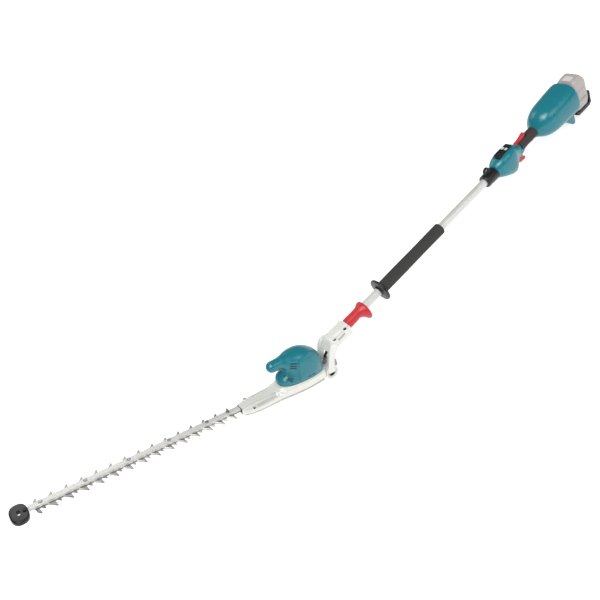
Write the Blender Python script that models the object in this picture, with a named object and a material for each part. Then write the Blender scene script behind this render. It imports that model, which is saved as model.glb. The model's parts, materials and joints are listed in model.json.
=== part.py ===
"""Cordless pole hedge trimmer with a tilting cutting head.

Lengths are in millimetres and are turned into metres where a mesh is made. The row frame has +X towards
the blade, +Y to the tool's left and +Z up, with the ground at Z = 0. Two working frames hang from it:
the tool frame, whose origin is on the head's pivot, and the head frame, which shares that origin and is
tilted up with the head, +X along the blade and Z = 0 between the two blades.
"""

import math

import bmesh
import bpy
from mathutils import Vector
from mathutils.geometry import tessellate_polygon

MM = 0.001
GAP = 0.3  # between pieces that touch

# Driving dimensions.
TILT = 27.0  # the head's angle above the pole's line
AXIS = 65.0  # pole axis above the pivot
EYE_R = 21.0  # round eyes of the fork, which the tool rests on
POLE_R = 12.5
POLE_WALL = 1.8
TIP_X = 881.0  # front of the tip guard, along the blade
REAR_X = -1231.0  # back of the battery cradle
TOOTH_PITCH = 36.0
STROKE = 9.0  # each blade's travel either side of its middle place

# Stations along the pole, in the tool frame.
CLAMP_FRONT, CLAMP_REAR = -48.0, -119.0
SLEEVE_FRONT, SLEEVE_REAR = -120.5, -196.0
GRIP_FRONT, GRIP_REAR = -276.3, -536.0
COLLAR_FRONT, COLLAR_REAR = -746.0, -793.0
HOUSING_FRONT, HOUSING_REAR = -795.0, -1158.0

# Head.
PIVOT_BOLT_R = 8.0
LUG_Y = 17.4
ARM_Y = (18.0, 30.0)
CASE_TOP = 20.7
CASE_LOW = -9.0
CASE_WALL = 3.5
MOTOR_X = 95.0
MODULE = 1.5
PINION_TEETH, CRANK_TEETH = 9, 37
CRANK_X = MOTOR_X + MODULE * (PINION_TEETH + CRANK_TEETH) / 2 + 0.3
SCREW_X = (813.0, 709.0, 602.0, 495.0, 388.0, 326.0)

# The part is centred on the row's origin, so the pivot's place follows from the two ends.
TIP_LOW = -5.0
BAR_TOP = 9.4  # top of the guide bar over the shear plane
FRONT_REACH = TIP_X * math.cos(math.radians(TILT)) - TIP_LOW * math.sin(math.radians(TILT))
PIVOT_X = -(FRONT_REACH + REAR_X) / 2


def clear_scene():
    for old in list(bpy.data.objects):
        bpy.data.objects.remove(old)


def material(name, colour, roughness, metallic=0.0):
    made = bpy.data.materials.new(name)
    made.use_nodes = True
    shader = made.node_tree.nodes["Principled BSDF"]
    shader.inputs["Base Color"].default_value = (*colour, 1.0)
    shader.inputs["Roughness"].default_value = roughness
    shader.inputs["Metallic"].default_value = metallic
    made.diffuse_color = (*colour, 1.0)
    return made


def empty(name, place, parent=None, turn_y=0.0):
    made = bpy.data.objects.new(name, None)
    bpy.context.scene.collection.objects.link(made)
    made.location = Vector(place) * MM
    made.rotation_euler = (0.0, math.radians(turn_y), 0.0)
    made.parent = parent
    return made


def solid(name, shape, look, parent, origin=(0.0, 0.0, 0.0), smooth=30.0):
    """An object from (points, faces) in millimetres, with its own origin moved to `origin`."""
    points, faces = shape
    place = Vector(origin)
    mesh = bpy.data.meshes.new(name)
    mesh.from_pydata([(Vector(p) - place) * MM for p in points], [], faces)
    net = bmesh.new()
    net.from_mesh(mesh)
    bmesh.ops.recalc_face_normals(net, faces=net.faces)
    net.to_mesh(mesh)
    net.free()
    mesh.shade_smooth()
    mesh.set_sharp_from_angle(angle=math.radians(smooth))
    mesh.materials.append(look)
    made = bpy.data.objects.new(name, mesh)
    bpy.context.scene.collection.objects.link(made)
    made.location = place * MM
    made.parent = parent
    return made


def combine(made, operation, name, shape):
    """Adds a live Boolean with a helper shape, which is given in the same frame as `made`."""
    helper = solid(name, shape, made.data.materials[0], made.parent)
    helper.hide_render = True
    helper.display_type = "WIRE"
    change = made.modifiers.new(name, "BOOLEAN")
    change.operation = operation
    change.solver = "EXACT"
    change.object = helper


def round_edges(made, width, segments=2, angle=40.0):
    bevel = made.modifiers.new("edges", "BEVEL")
    bevel.width = width * MM
    bevel.segments = segments
    bevel.limit_method = "ANGLE"
    bevel.angle_limit = math.radians(angle)


def swap(points, plane):
    """Takes points drawn as (u, v, along) to the frame, for an outline in the named plane."""
    if plane == "XY":
        return points
    if plane == "XZ":
        return [(u, w, v) for u, v, w in points]
    return [(w, u, v) for u, v, w in points]


def slab(outline, low, high, plane="XY", holes=()):
    """A flat outline with holes, drawn in a plane and given a thickness from low to high."""
    loops = [list(outline)] + [list(hole) for hole in holes]
    flat = [Vector((u, v, 0.0)) for loop in loops for u, v in loop]
    count = len(flat)
    starts = [0]
    for loop in loops:
        starts.append(starts[-1] + len(loop))
    cap = tessellate_polygon([flat[a:b] for a, b in zip(starts, starts[1:])])
    faces = []
    for triangle in cap:
        a, b, c = (flat[i] for i in triangle)
        ordered = triangle if (b - a).cross(c - a).z > 0 else triangle[::-1]
        faces.append([i + count for i in ordered])
        faces.append(list(ordered[::-1]))
    for a, b in zip(starts, starts[1:]):
        for i in range(a, b):
            j = i + 1 if i + 1 < b else a
            faces.append([i, j, j + count, i + count])
    points = [(u, v, low) for u, v, _ in flat] + [(u, v, high) for u, v, _ in flat]
    return swap(points, plane), faces


def box(low, high):
    outline = [(low[0], low[1]), (high[0], low[1]), (high[0], high[1]), (low[0], high[1])]
    return slab(outline, low[2], high[2])


def circle(u, v, radius, segments=24, start=0.0, sweep=360.0):
    """Points round a centre: a full turn leaves out the last point, an arc keeps it."""
    steps = segments if sweep == 360.0 else segments + 1
    angles = [math.radians(start + sweep * i / segments) for i in range(steps)]
    return [(u + radius * math.cos(a), v + radius * math.sin(a)) for a in angles]


def stadium(u, v, half_length, radius, segments=6):
    """A slot along u with round ends."""
    right = circle(u + half_length - radius, v, radius, segments, -90.0, 180.0)
    left = circle(u - half_length + radius, v, radius, segments, 90.0, 180.0)
    return right + left


def turned(profile, segments=32, axis="X", centre=(0.0, 0.0), closed=True):
    """A profile of (radius, along) swept round an axis: a closed ring, or a solid whose ends are at radius 0."""
    points, faces, rows = [], [], []
    for radius, along in profile:
        steps = segments if radius > 0 else 1
        rows.append(range(len(points), len(points) + steps))
        for i in range(steps):
            a = 2 * math.pi * i / segments
            points.append((radius * math.cos(a), radius * math.sin(a), along))
    pairs = list(zip(rows, rows[1:]))
    if closed:
        pairs.append((rows[-1], rows[0]))
    for first, second in pairs:
        for i in range(segments):
            j = (i + 1) % segments
            face = [first[i % len(first)], first[j % len(first)]]
            face += [second[j % len(second)], second[i % len(second)]]
            face = [p for k, p in enumerate(face) if p not in face[:k]]
            if len(face) > 2:
                faces.append(face)
    u, v = centre
    if axis == "X":
        points = [(w, a + u, b + v) for a, b, w in points]
    elif axis == "Y":
        points = [(a + u, w, b + v) for a, b, w in points]
    else:
        points = [(a + u, b + v, w) for a, b, w in points]
    return points, faces


def rod(radius, low, high, axis="X", centre=(0.0, 0.0), segments=24):
    return turned([(0.0, low), (radius, low), (radius, high), (0.0, high)], segments, axis, centre, closed=False)


def ring(inner, outer, low, high, axis="X", centre=(0.0, 0.0), segments=32):
    return turned([(inner, low), (outer, low), (outer, high), (inner, high)], segments, axis, centre)


def loft(rings):
    """A skin over closed rings of equal counts, with flat ends."""
    count = len(rings[0])
    points = [p for one in rings for p in one]
    faces = [list(range(count)), [len(points) - count + i for i in range(count)]]
    for k in range(len(rings) - 1):
        for i in range(count):
            j = (i + 1) % count
            faces.append([k * count + i, k * count + j, (k + 1) * count + j, (k + 1) * count + i])
    return points, faces


def power(value, exponent):
    return math.copysign(abs(value) ** exponent, value)


def oval(centre, half_u, half_v, fullness, segments=28):
    """A superellipse, round at fullness 2 and squarer above it."""
    points = []
    for i in range(segments):
        a = 2 * math.pi * i / segments
        u = centre[0] + half_u * power(math.cos(a), 2 / fullness)
        v = centre[1] + half_v * power(math.sin(a), 2 / fullness)
        points.append((u, v))
    return points


def looks():
    return {
        "teal_abs": material("teal_abs", (0.0, 0.19, 0.22), 0.35),
        "black_nylon": material("black_nylon", (0.018, 0.018, 0.02), 0.45),
        "grip_rubber": material("grip_rubber", (0.045, 0.042, 0.04), 0.75),
        "foam": material("foam", (0.035, 0.035, 0.033), 0.9),
        "red_nylon": material("red_nylon", (0.62, 0.03, 0.035), 0.4),
        "cast_aluminium": material("cast_aluminium", (0.66, 0.66, 0.62), 0.45, 0.9),
        "pole_aluminium": material("pole_aluminium", (0.8, 0.8, 0.79), 0.3, 0.9),
        "blade_steel": material("blade_steel", (0.56, 0.56, 0.55), 0.28, 1.0),
        "dark_steel": material("dark_steel", (0.05, 0.05, 0.05), 0.4, 0.9),
        "gear_steel": material("gear_steel", (0.3, 0.3, 0.31), 0.35, 1.0),
        "battery_grey": material("battery_grey", (0.42, 0.39, 0.37), 0.5),
        "button_grey": material("button_grey", (0.72, 0.72, 0.7), 0.4),
        "lens": material("lens", (0.2, 0.02, 0.02), 0.15),
        "copper": material("copper", (0.55, 0.25, 0.12), 0.35, 1.0),
        "board": material("board", (0.02, 0.12, 0.05), 0.5),
        "cable": material("cable", (0.02, 0.02, 0.02), 0.5),
    }


def pole(look, tool):
    tube = [(POLE_R - POLE_WALL, -830.0), (POLE_R, -830.0), (POLE_R, -50.0), (POLE_R - POLE_WALL, -50.0)]
    solid("pole_tube", turned(tube, 32, "X", (0.0, AXIS)), look["pole_aluminium"], tool)
    foam = [(POLE_R + GAP, GRIP_REAR), (16.5, GRIP_REAR), (18.3, GRIP_REAR + 3), (18.5, GRIP_FRONT)]
    foam += [(POLE_R + GAP, GRIP_FRONT)]
    solid("foam_grip", turned(foam, 28, "X", (0.0, AXIS)), look["foam"], tool)
    guard = [(12.8, -258), (16.5, -258), (34, -262.5), (36.5, -265.5), (36.5, -268.5), (34, -271)]
    guard += [(20, -273), (20, -276)]
    solid("grip_guard", turned(guard + [(12.8, -276)], 32, "X", (0.0, AXIS)), look["black_nylon"], tool)


def power_cable(look, tool):
    """The lead from the controller to the head, which runs inside the handle and the pole."""
    start, end, steps = -1026.0, -53.0, 26
    curve = bpy.data.curves.new("power_cable", "CURVE")
    curve.dimensions = "3D"
    curve.bevel_depth = 2.6 * MM
    curve.bevel_resolution = 2
    curve.use_fill_caps = True
    line = curve.splines.new("POLY")
    line.points.add(steps)
    for i in range(steps + 1):
        part = i / steps
        x = start + (end - start) * part
        y = 6.0 * math.exp(-(((x + 925.0) / 60.0) ** 2)) + 1.2 * math.sin(12.0 * part)
        line.points[i].co = (x * MM, y * MM, (AXIS - 0.5) * MM, 1.0)
    made = bpy.data.objects.new("power_cable", curve)
    bpy.context.scene.collection.objects.link(made)
    curve.materials.append(look["cable"])
    made.parent = tool


def strap_collar(look, tool):
    """The collar in front of the housing, with the loop for a shoulder strap."""
    edge = [(POLE_R + GAP, COLLAR_REAR), (20.5, COLLAR_REAR), (21.5, COLLAR_REAR + 3), (20.5, COLLAR_FRONT - 3)]
    edge += [(18.5, COLLAR_FRONT), (POLE_R + GAP, COLLAR_FRONT)]
    made = solid("strap_collar", turned(edge, 32, "X", (0.0, AXIS)), look["black_nylon"], tool)
    u, v = -766.0, AXIS + 29.0
    outline = [(u + 17, AXIS + 17), *circle(u, v, 11.5, 14, -20.0, 220.0), (u - 17, AXIS + 17)]
    combine(made, "UNION", "strap_loop_body", slab(outline, -4.0, 4.0, "XZ", [circle(u, v, 6.5, 14)]))


# The housing's shape: station, half width, height above the axis, depth below it, fullness.
HOUSING = (
    (HOUSING_FRONT, 20.0, 24.0, 21.0, 2.2),
    (-805.0, 25.5, 30.0, 27.0, 2.4),
    (-822.0, 30.0, 36.0, 37.0, 2.6),
    (-842.0, 31.5, 39.0, 48.0, 2.7),
    (-858.0, 31.0, 39.5, 55.0, 2.7),
    (-868.0, 29.5, 39.0, 56.5, 2.7),
    (-877.0, 26.5, 38.0, 52.0, 2.6),
    (-885.0, 22.5, 35.0, 43.0, 2.4),
    (-893.0, 19.0, 30.0, 38.5, 2.2),
    (-905.0, 15.0, 20.0, 36.5, 2.1),
    (-915.0, 14.5, 16.0, 34.0, 2.1),
    (-924.0, 14.5, 16.0, 29.5, 2.0),
    (-932.0, 14.5, 16.0, 22.5, 2.0),
    (-941.0, 14.5, 16.0, 19.0, 2.0),
    (-970.0, 14.5, 16.0, 19.5, 2.0),
    (-992.0, 16.0, 16.5, 21.0, 2.0),
    (-997.0, 22.0, 22.0, 23.0, 2.0),
    (-1005.0, 32.0, 33.0, 28.0, 2.1),
    (-1016.0, 40.0, 43.0, 35.0, 2.2),
    (-1031.0, 46.0, 50.5, 40.5, 2.3),
    (-1052.0, 50.5, 54.5, 43.5, 2.4),
    (-1085.0, 52.5, 57.0, 44.5, 2.5),
    (-1120.0, 54.0, 60.0, 45.0, 2.5),
    (-1146.0, 54.0, 61.5, 47.5, 2.5),
    (HOUSING_REAR, 53.0, 60.0, 48.5, 2.5),
)
HOUSING_WALL = 2.8


def half_loop(station, side, wall, steps=10):
    """One side of the housing's section: down the outside, then back up the inside."""
    x, width, top, depth, fullness = station
    loop = []
    for inset, order in ((0.0, range(steps + 1)), (wall, range(steps, -1, -1))):
        for i in order:
            a = math.pi / 2 - math.pi * i / steps
            high = (top if a > 0 else depth) - inset
            y = max((width - inset) * abs(math.cos(a)) ** (2 / fullness), GAP / 2)
            loop.append((x, side * y, AXIS + high * power(math.sin(a), 2 / fullness)))
    return loop


def housing(look, tool):
    """Two mirrored shells, from the switch box through the handle to the battery end, with the rear foot."""
    foot = [(-1098, AXIS - 36), (-1112, AXIS - 48), (-1144, AXIS - 83), (-1148, -EYE_R)]
    foot += [(HOUSING_REAR, -EYE_R)]
    foot.append((HOUSING_REAR, AXIS - 36))
    for name, side in (("housing_left", 1), ("housing_right", -1)):
        shell = solid(name, loft([half_loop(s, side, HOUSING_WALL) for s in HOUSING]), look["teal_abs"], tool)
        low, high = sorted((side * GAP / 2, side * 25.0))
        combine(shell, "UNION", name + "_foot", slab(foot, low, high, "XZ"))
        cuts = (
            ("panel", (-880.6, -12.4, AXIS + 33), (-817.4, 12.4, AXIS + 50)),
            ("lever", (-955.0, -6.0, AXIS + 8), (-898.0, 6.0, AXIS + 45)),
            ("trigger", (-923.0, -7.2, AXIS - 60), (-881.0, 7.2, AXIS - 8)),
        )
        for label, near, far in cuts:
            combine(shell, "DIFFERENCE", name + "_" + label + "_slot", box(near, far))


def handle_rubber(look, tool):
    """A soft saddle over the top and sides of the handle."""
    rings = []
    for x, swell in ((-990.0, 0.6), (-975.0, 0.0), (-940.0, 0.0), (-914.0, 0.8)):
        loop = []
        for radius, order in ((3.2, range(13)), (0.0, range(12, -1, -1))):
            for i in order:
                a = math.radians(-9.0 + 198.0 * i / 12)
                wide, high = 15.7 + radius + swell, 17.2 + radius + swell
                loop.append((x, wide * math.cos(a), AXIS + high * math.sin(a)))
        rings.append(loop)
    made = solid("handle_rubber", loft(rings), look["grip_rubber"], tool)
    combine(made, "DIFFERENCE", "handle_rubber_lever_slot", box((-955, -6, AXIS + 8), (-898, 6, AXIS + 45)))


def controls(look, tool):
    """The panel on top of the switch box, its two buttons, and the lever and trigger of the handle."""
    top = AXIS + 41.2
    holes = [oval((-858.0, y), 5.3, 4.6, 6, 12) for y in (-6.2, 6.2)] + [oval((-832.0, 0.0), 7.3, 9.3, 8, 12)]
    outline = oval((-849.0, 0.0), 31.0, 12.0, 8, 24)
    solid("control_panel", slab(outline, AXIS + 36.9, top, "XY", holes), look["black_nylon"], tool)
    solid("indicator_lens", slab(oval((-832, 0), 7, 9, 8, 12), AXIS + 37.2, top - 0.4), look["lens"], tool)
    for name, y in (("power_button", -6.2), ("mode_button", 6.2)):
        shape = slab(oval((-858.0, y), 5.0, 4.3, 6, 12), top - 4.0, top + 1.4)
        solid(name, shape, look["button_grey"], tool, (-858.0, y, top))
    lever = [(-902, 12), (-902, 20), (-912, 24), (-930, 29.5), (-943, 34.5), (-948, 33.5), (-950.5, 29)]
    lever += [(-948, 23), (-938, 18), (-925, 13.5), (-914, 11)]
    outline = [(x, AXIS + z) for x, z in lever]
    made = solid("lock_off_lever", slab(outline, -5.0, 5.0, "XZ"), look["red_nylon"], tool, (-906.0, 0, AXIS + 16))
    round_edges(made, 1.0, 1)
    trigger = [(-884, -14), (-884, -30), (-891, -42), (-905, -49), (-924, -51.5), (-929.5, -48.5), (-929, -42.5)]
    trigger += [(-920, -39), (-914, -34), (-911, -28), (-913, -20), (-913, -14)]
    outline = [(x, AXIS + z) for x, z in trigger]
    made = solid("trigger", slab(outline, -6.5, 6.5, "XZ"), look["red_nylon"], tool, (-890.0, 0, AXIS - 20))
    round_edges(made, 1.2, 1)
    solid("main_switch", box((-876, -9, AXIS - 26), (-846, 9, AXIS - 8)), look["black_nylon"], tool)


def power_unit(look, tool):
    """What the rear housing holds, the cradle that carries the battery, and the battery."""
    solid("controller_board", box((-1112, -32, AXIS + 2), (-1028.5, 32, AXIS + 9)), look["board"], tool)
    window = [(-21.0, AXIS - 32), (21.0, AXIS - 32), (21.0, AXIS + 22), (-21.0, AXIS + 22)]
    outline = [(x, AXIS + z) for x, z in (
        (-1158.4, 30), (-1158.4, -57), (-1166, -62), (-1222, -62), (REAR_X, -54), (-1229.5, -11), (-1223.1, -11),
        (-1223.1, -48.6), (-1163, -48.6), (-1163, 30))]
    cradle = solid("battery_cradle", slab(outline, -38.0, 38.0, "XZ"), look["black_nylon"], tool)
    combine(cradle, "DIFFERENCE", "terminal_window", slab(window, -1170.0, -1150.0, "YZ"))
    low, high = (-1162.8, -20.7, AXIS - 31.7), (-1140.0, 20.7, AXIS + 21.7)
    solid("battery_terminal", box(low, high), look["black_nylon"], tool)
    outline = [(x, AXIS + z) for x, z in (
        (-1163.5, -48), (-1163.5, 46), (-1172, 57), (-1213, 57), (-1222.6, 46), (-1222.6, -48))]
    place = (-1193.0, 0.0, AXIS)
    case = solid("battery_case", slab(outline, -37.0, 37.0, "XZ"), look["battery_grey"], tool, place)
    combine(case, "DIFFERENCE", "button_recess", box((-1197.4, -14.4, AXIS + 49), (-1173.6, 14.4, AXIS + 60)))
    round_edges(case, 4.0, 2, 25.0)
    shape = slab(oval((-1185.5, 0.0), 11.5, 14.0, 8, 16), AXIS + 52.5, AXIS + 58.5)
    solid("battery_button", shape, look["button_grey"], tool, (-1185.5, 0.0, AXIS + 58))


def release_sleeve(look, tool):
    """The red sleeve that is pulled back to free the head, its spring and collar, and the plate it pulls."""
    origin = (SLEEVE_FRONT, 0.0, AXIS)
    body = [(0.0, SLEEVE_REAR + 1), (16.0, SLEEVE_REAR + 1), (16.0, SLEEVE_FRONT - 1.5), (15.0, SLEEVE_FRONT)]
    shape = turned(body + [(0.0, SLEEVE_FRONT)], 32, "X", (0.0, AXIS), closed=False)
    made = solid("release_sleeve", shape, look["red_nylon"], tool, origin)
    rings = []
    for x, part in ((-172.0, 0.45), (-182.0, 0.62), (-187.0, 0.95), (-191.0, 1.0), (SLEEVE_REAR, 0.93)):
        low, high = -16.0 - 25.0 * part, 15.5 + 3.5 * part
        half = 15.0 + 14.0 * part
        flat = oval((0.0, AXIS + (low + high) / 2), half, (high - low) / 2, 2.05, 26)
        rings.append([(x, y, z) for y, z in flat])
    combine(made, "UNION", "sleeve_flange", loft(rings))
    bore = [(0.0, -210.0), (14.7, -210.0), (14.7, -150.0), (POLE_R + GAP, -150.0)]
    bore += [(POLE_R + GAP, -110.0), (0.0, -110.0)]
    combine(made, "DIFFERENCE", "sleeve_bore", turned(bore, 32, "X", (0.0, AXIS), closed=False))
    start = SLEEVE_FRONT + GAP
    outline = [(start, 51.4), (-33.5, 51.4), (-20.0, 43.2), (-13.4, 38.6), (-16.2, 36.2), (-25.0, 41.4)]
    outline += [(-36.0, 48.4)]
    outline.append((start, 48.4))
    solid("lock_plate", slab(outline, -4.0, 4.0, "XZ"), look["dark_steel"], tool, origin)
    solid("spring_collar", ring(POLE_R + GAP, 14.4, -194.0, -190.0, "X", (0.0, AXIS), 24), look["dark_steel"], tool)
    turns, per_turn, wire, radius = 5, 12, 0.7, 13.6
    front, rear = -151.2, -189.2
    rings = []
    for i in range(turns * per_turn + 1):
        a = 2 * math.pi * i / per_turn
        along = rear + (front - rear) * i / (turns * per_turn)
        loop = []
        for u, v in circle(0.0, 0.0, wire, 5):
            loop.append((along + u, (radius + v) * math.cos(a), AXIS + (radius + v) * math.sin(a)))
        rings.append(loop)
    solid("sleeve_spring", loft(rings), look["gear_steel"], tool)


BOLTS = [(x, y) for x in (-60.5, -103.5) for y in (20.5, -20.5)]


def arm(look, tool):
    """The cast arm: half a clamp round the pole, a web, and two cheeks that end in the pivot eyes."""
    upper = [(27.0, 0.2), (27.0, 11.5), (25.0, 14.0), (15.5, 14.5), (9.5, 17.5), (3.0, 18.8), (-6.0, 18.6)]
    upper += [(-12.5, 15.5), (-17.0, 9.5), (-18.0, 7.5), (-25.5, 7.5), (-27.0, 6.0), (-27.0, 0.2)]
    upper = [(y, AXIS + z) for y, z in upper]
    bracket = solid("arm_bracket", slab(upper, CLAMP_REAR, CLAMP_FRONT, "YZ"), look["cast_aluminium"], tool)
    cheek = [(-66.0, 79.0), (-45.0, 79.0), (-36.0, 74.0), (-10.0, 46.0)] + circle(0, 0, EYE_R, 18, 62.0, -224.0)
    cheek += [(-24.0, 22.0), (-44.0, 44.0), (CLAMP_FRONT + 0.6, 50.0), (CLAMP_FRONT + 0.6, AXIS + 0.2)]
    cheek += [(-66.0, AXIS + 0.2)]
    web = [(-60, 80), (-44, 81), (-36, 72), (-24, 54), (-35, 54), (CLAMP_FRONT + 0.6, 62)]
    web += [(CLAMP_FRONT + 0.6, AXIS + 0.2), (-60, AXIS + 0.2)]
    combine(bracket, "UNION", "arm_web", slab(web, -19.0, 19.0, "XZ"))
    for label, side in (("left", 1), ("right", -1)):
        low, high = sorted((side * ARM_Y[0], side * ARM_Y[1]))
        combine(bracket, "UNION", "cheek_" + label, slab(cheek, low, high, "XZ"))
    combine(bracket, "DIFFERENCE", "pole_bore", rod(POLE_R + GAP, -130, -49, "X", (0, AXIS), 32))
    combine(bracket, "DIFFERENCE", "pivot_bore", rod(PIVOT_BOLT_R + GAP, -40, 40, "Y"))
    for label, side in (("left", 1), ("right", -1)):
        low, high = sorted((side * 24.0, side * 40.0))
        combine(bracket, "DIFFERENCE", "pivot_recess_" + label, rod(12.3, low, high, "Y"))
    lower = [(26.0, -0.2), (26.0, -12.0), (17.0, -19.0), (-17.0, -19.0), (-26.0, -12.0), (-26.0, -0.2)]
    lower = [(y, AXIS + z) for y, z in lower]
    cap = solid("clamp_cap", slab(lower, CLAMP_REAR, CLAMP_FRONT, "YZ"), look["cast_aluminium"], tool)
    combine(cap, "DIFFERENCE", "cap_bore", rod(POLE_R + GAP, -130, -40, "X", (0, AXIS), 32))
    combine(cap, "DIFFERENCE", "lock_plate_slot", box((-130, -4.5, 47.9), (-40, 4.5, 56.0)))
    for i, (x, y) in enumerate(BOLTS, 1):
        seat = AXIS + (8.0 if y > 0 else 2.2)
        hole = [(0, AXIS - 15), (2.9, AXIS - 15), (2.9, seat), (5.2, seat), (5.2, AXIS + 30), (0, AXIS + 30)]
        combine(bracket, "DIFFERENCE", f"bolt_hole_{i}", turned(hole, 16, "Z", (x, y), closed=False))
        combine(cap, "DIFFERENCE", f"cap_hole_{i}", rod(2.9, AXIS - 15, AXIS + 8, "Z", (x, y), 16))
        bolt = [(0, AXIS - 14), (2.6, AXIS - 14), (2.6, seat + 0.3), (4.8, seat + 0.3), (4.8, seat + 5.0)]
        bolt += [(2.2, seat + 5.0), (2.2, seat + 2.5), (0, seat + 2.5)]
        solid(f"clamp_bolt_{i}", turned(bolt, 12, "Z", (x, y), closed=False), look["dark_steel"], tool)
    pin = [(0, -28.5), (PIVOT_BOLT_R, -28.5), (PIVOT_BOLT_R, 24.3), (11.8, 24.3), (11.8, 28.6)]
    pin += [(5.0, 28.6), (5.0, 26), (0, 26)]
    solid("pivot_bolt", turned(pin, 24, "Y", closed=False), look["dark_steel"], tool)
    hexagon = circle(0, 0, 11.8, 6)
    nut = slab(hexagon, -28.8, -24.3, "XZ", [circle(0, 0, PIVOT_BOLT_R + GAP, 24)])
    solid("pivot_nut", nut, look["dark_steel"], tool)


# The gear case's shape: station, half width, half width of its top, height of its top.
CASE = (
    (30.0, 31.0, 27.0, CASE_TOP),
    (60.0, 35.0, 31.0, CASE_TOP),
    (90.0, 37.0, 33.0, CASE_TOP),
    (128.0, 35.5, 31.5, CASE_TOP),
    (158.0, 32.5, 26.0, CASE_TOP),
    (176.0, 31.0, 15.5, 17.5),
    (215.0, 31.0, 12.0, 13.5),
    (250.0, 30.5, 10.0, 11.0),
    (272.0, 26.0, 9.0, 9.8),
    (290.0, 20.0, 8.5, 9.0),
)


def case_loop(station):
    """The gear case's section, a channel open underneath: over the outside, then back under the inside."""
    x, width, crown, top = station
    shoulder = min(top - 3.0, 1.0 + 0.75 * (top - 9.0))
    outer = [(width, CASE_LOW), (width, shoulder), (crown, top)]
    wall = CASE_WALL
    inner = [(width - wall, CASE_LOW), (width - wall, shoulder - 1.2), (crown - 1.5, top - wall)]
    half = outer + [(0.0, top)]
    back = [(0.0, top - wall)] + inner[::-1]
    left = [(x, y, z) for y, z in half]
    right = [(x, -y, z) for y, z in outer[::-1]]
    under = [(x, -y, z) for y, z in inner]
    return left + right + under + [(x, y, z) for y, z in back]


def gear_case(look, head):
    case = solid("gear_case", loft([case_loop(s) for s in CASE]), look["cast_aluminium"], head)
    back = [(-30.0, CASE_LOW), (30.0, CASE_LOW), (30.0, 17.0), (26.5, CASE_TOP), (-26.5, CASE_TOP), (-30.0, 17.0)]
    combine(case, "UNION", "case_back", slab(back, 24.0, 35.0, "YZ"))
    neck = [(0.0, -18.0), (25.6, -12.0), (25.6, CASE_LOW + 0.4), (30.0, CASE_LOW + 0.4), (30.0, 18.2), (0.0, 18.2)]
    combine(case, "UNION", "case_neck", slab(neck, -LUG_Y, LUG_Y, "XZ"))
    combine(case, "UNION", "case_lug", rod(EYE_R - 0.5, -LUG_Y, LUG_Y, "Y", segments=32))
    combine(case, "DIFFERENCE", "lug_bore", rod(PIVOT_BOLT_R + GAP, -40, 40, "Y"))
    combine(case, "DIFFERENCE", "bearing_seat", rod(10.3, 12, 30, "Z", (MOTOR_X, 0)))
    combine(case, "DIFFERENCE", "nose_channel", box((254, -12.9, -12), (296, 12.9, 5.2)))
    side = [(x, width - 0.5) for x, width, _, _ in CASE[:-1]] + [(286.0, 20.5)]
    outline = [(26.0, 28.0)] + side
    outline += [(x, -y) for x, y in reversed(outline)]
    solid("gear_case_cover", slab(outline, -12.5, CASE_LOW - GAP), look["cast_aluminium"], head)


# The head cover's plan at each height: height, rear end, front end, half width, fullness.
COVER = (
    (CASE_TOP + GAP, 21.0, 165.0, 35.5, 2.4),
    (30.0, 20.5, 167.0, 37.5, 2.4),
    (38.0, 20.5, 166.0, 38.5, 2.4),
    (50.0, 22.0, 155.0, 39.0, 2.3),
    (64.0, 27.0, 149.0, 38.5, 2.3),
    (78.0, 35.0, 147.0, 36.5, 2.25),
    (90.0, 46.0, 145.0, 33.0, 2.2),
    (99.0, 59.0, 141.0, 27.5, 2.1),
    (105.5, 72.0, 135.0, 20.0, 2.05),
    (109.5, 86.0, 125.0, 11.5, 2.0),
    (110.8, 98.0, 113.0, 4.5, 2.0),
)
HORN_Z, HORN_R, HORN_END = 86.0, 16.0, 180.0


def cover_ring(row, inset):
    z, rear, front, half, fullness = row
    flat = oval(((rear + front) / 2, 0.0), (front - rear) / 2 - inset, half - inset, fullness, 32)
    return [(x, y, z) for x, y in flat]


def head_cover(look, head):
    """The motor's domed cover with its front horn, hollow and open underneath."""
    cover = solid("head_cover", loft([cover_ring(row, 0.0) for row in COVER]), look["teal_abs"], head)
    rings = []
    for x, z, radius in ((126.0, 88.0, 17.0), (150.0, 87.5, 17.0), (HORN_END, HORN_Z, HORN_R)):
        rings.append([(x, y, z + v) for y, v in circle(0, 0, radius, 20)])
    for angle in (25.0, 50.0, 72.0):
        a = math.radians(angle)
        x = HORN_END + HORN_R * math.sin(a)
        rings.append([(x, y, HORN_Z + v) for y, v in circle(0, 0, HORN_R * math.cos(a), 20)])
    combine(cover, "UNION", "horn", loft(rings))
    inside = [cover_ring((CASE_TOP - 5, *COVER[0][1:]), 3.0)] + [cover_ring(row, 3.0) for row in COVER[:-3]]
    inside.append(cover_ring((103.0, 68.0, 132.0, 19.0, 2.0), 0.0))
    combine(cover, "DIFFERENCE", "cover_inside", loft(inside))


def gear_outline(teeth, phase):
    """A spur gear's outline: each tooth has a root, a flank point at the pitch circle and a tip, with backlash."""
    pitch_r = MODULE * teeth / 2
    step = 360.0 / teeth
    points = []
    for k in range(teeth):
        middle = phase + k * step
        for offset, radius in ((-0.34, -1.3), (-0.21, 0.0), (-0.1, 0.8), (0.1, 0.8), (0.21, 0.0), (0.34, -1.3)):
            a = math.radians(middle + offset * step)
            r = pitch_r + radius * MODULE
            points.append((r * math.cos(a), r * math.sin(a)))
    return points


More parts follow.
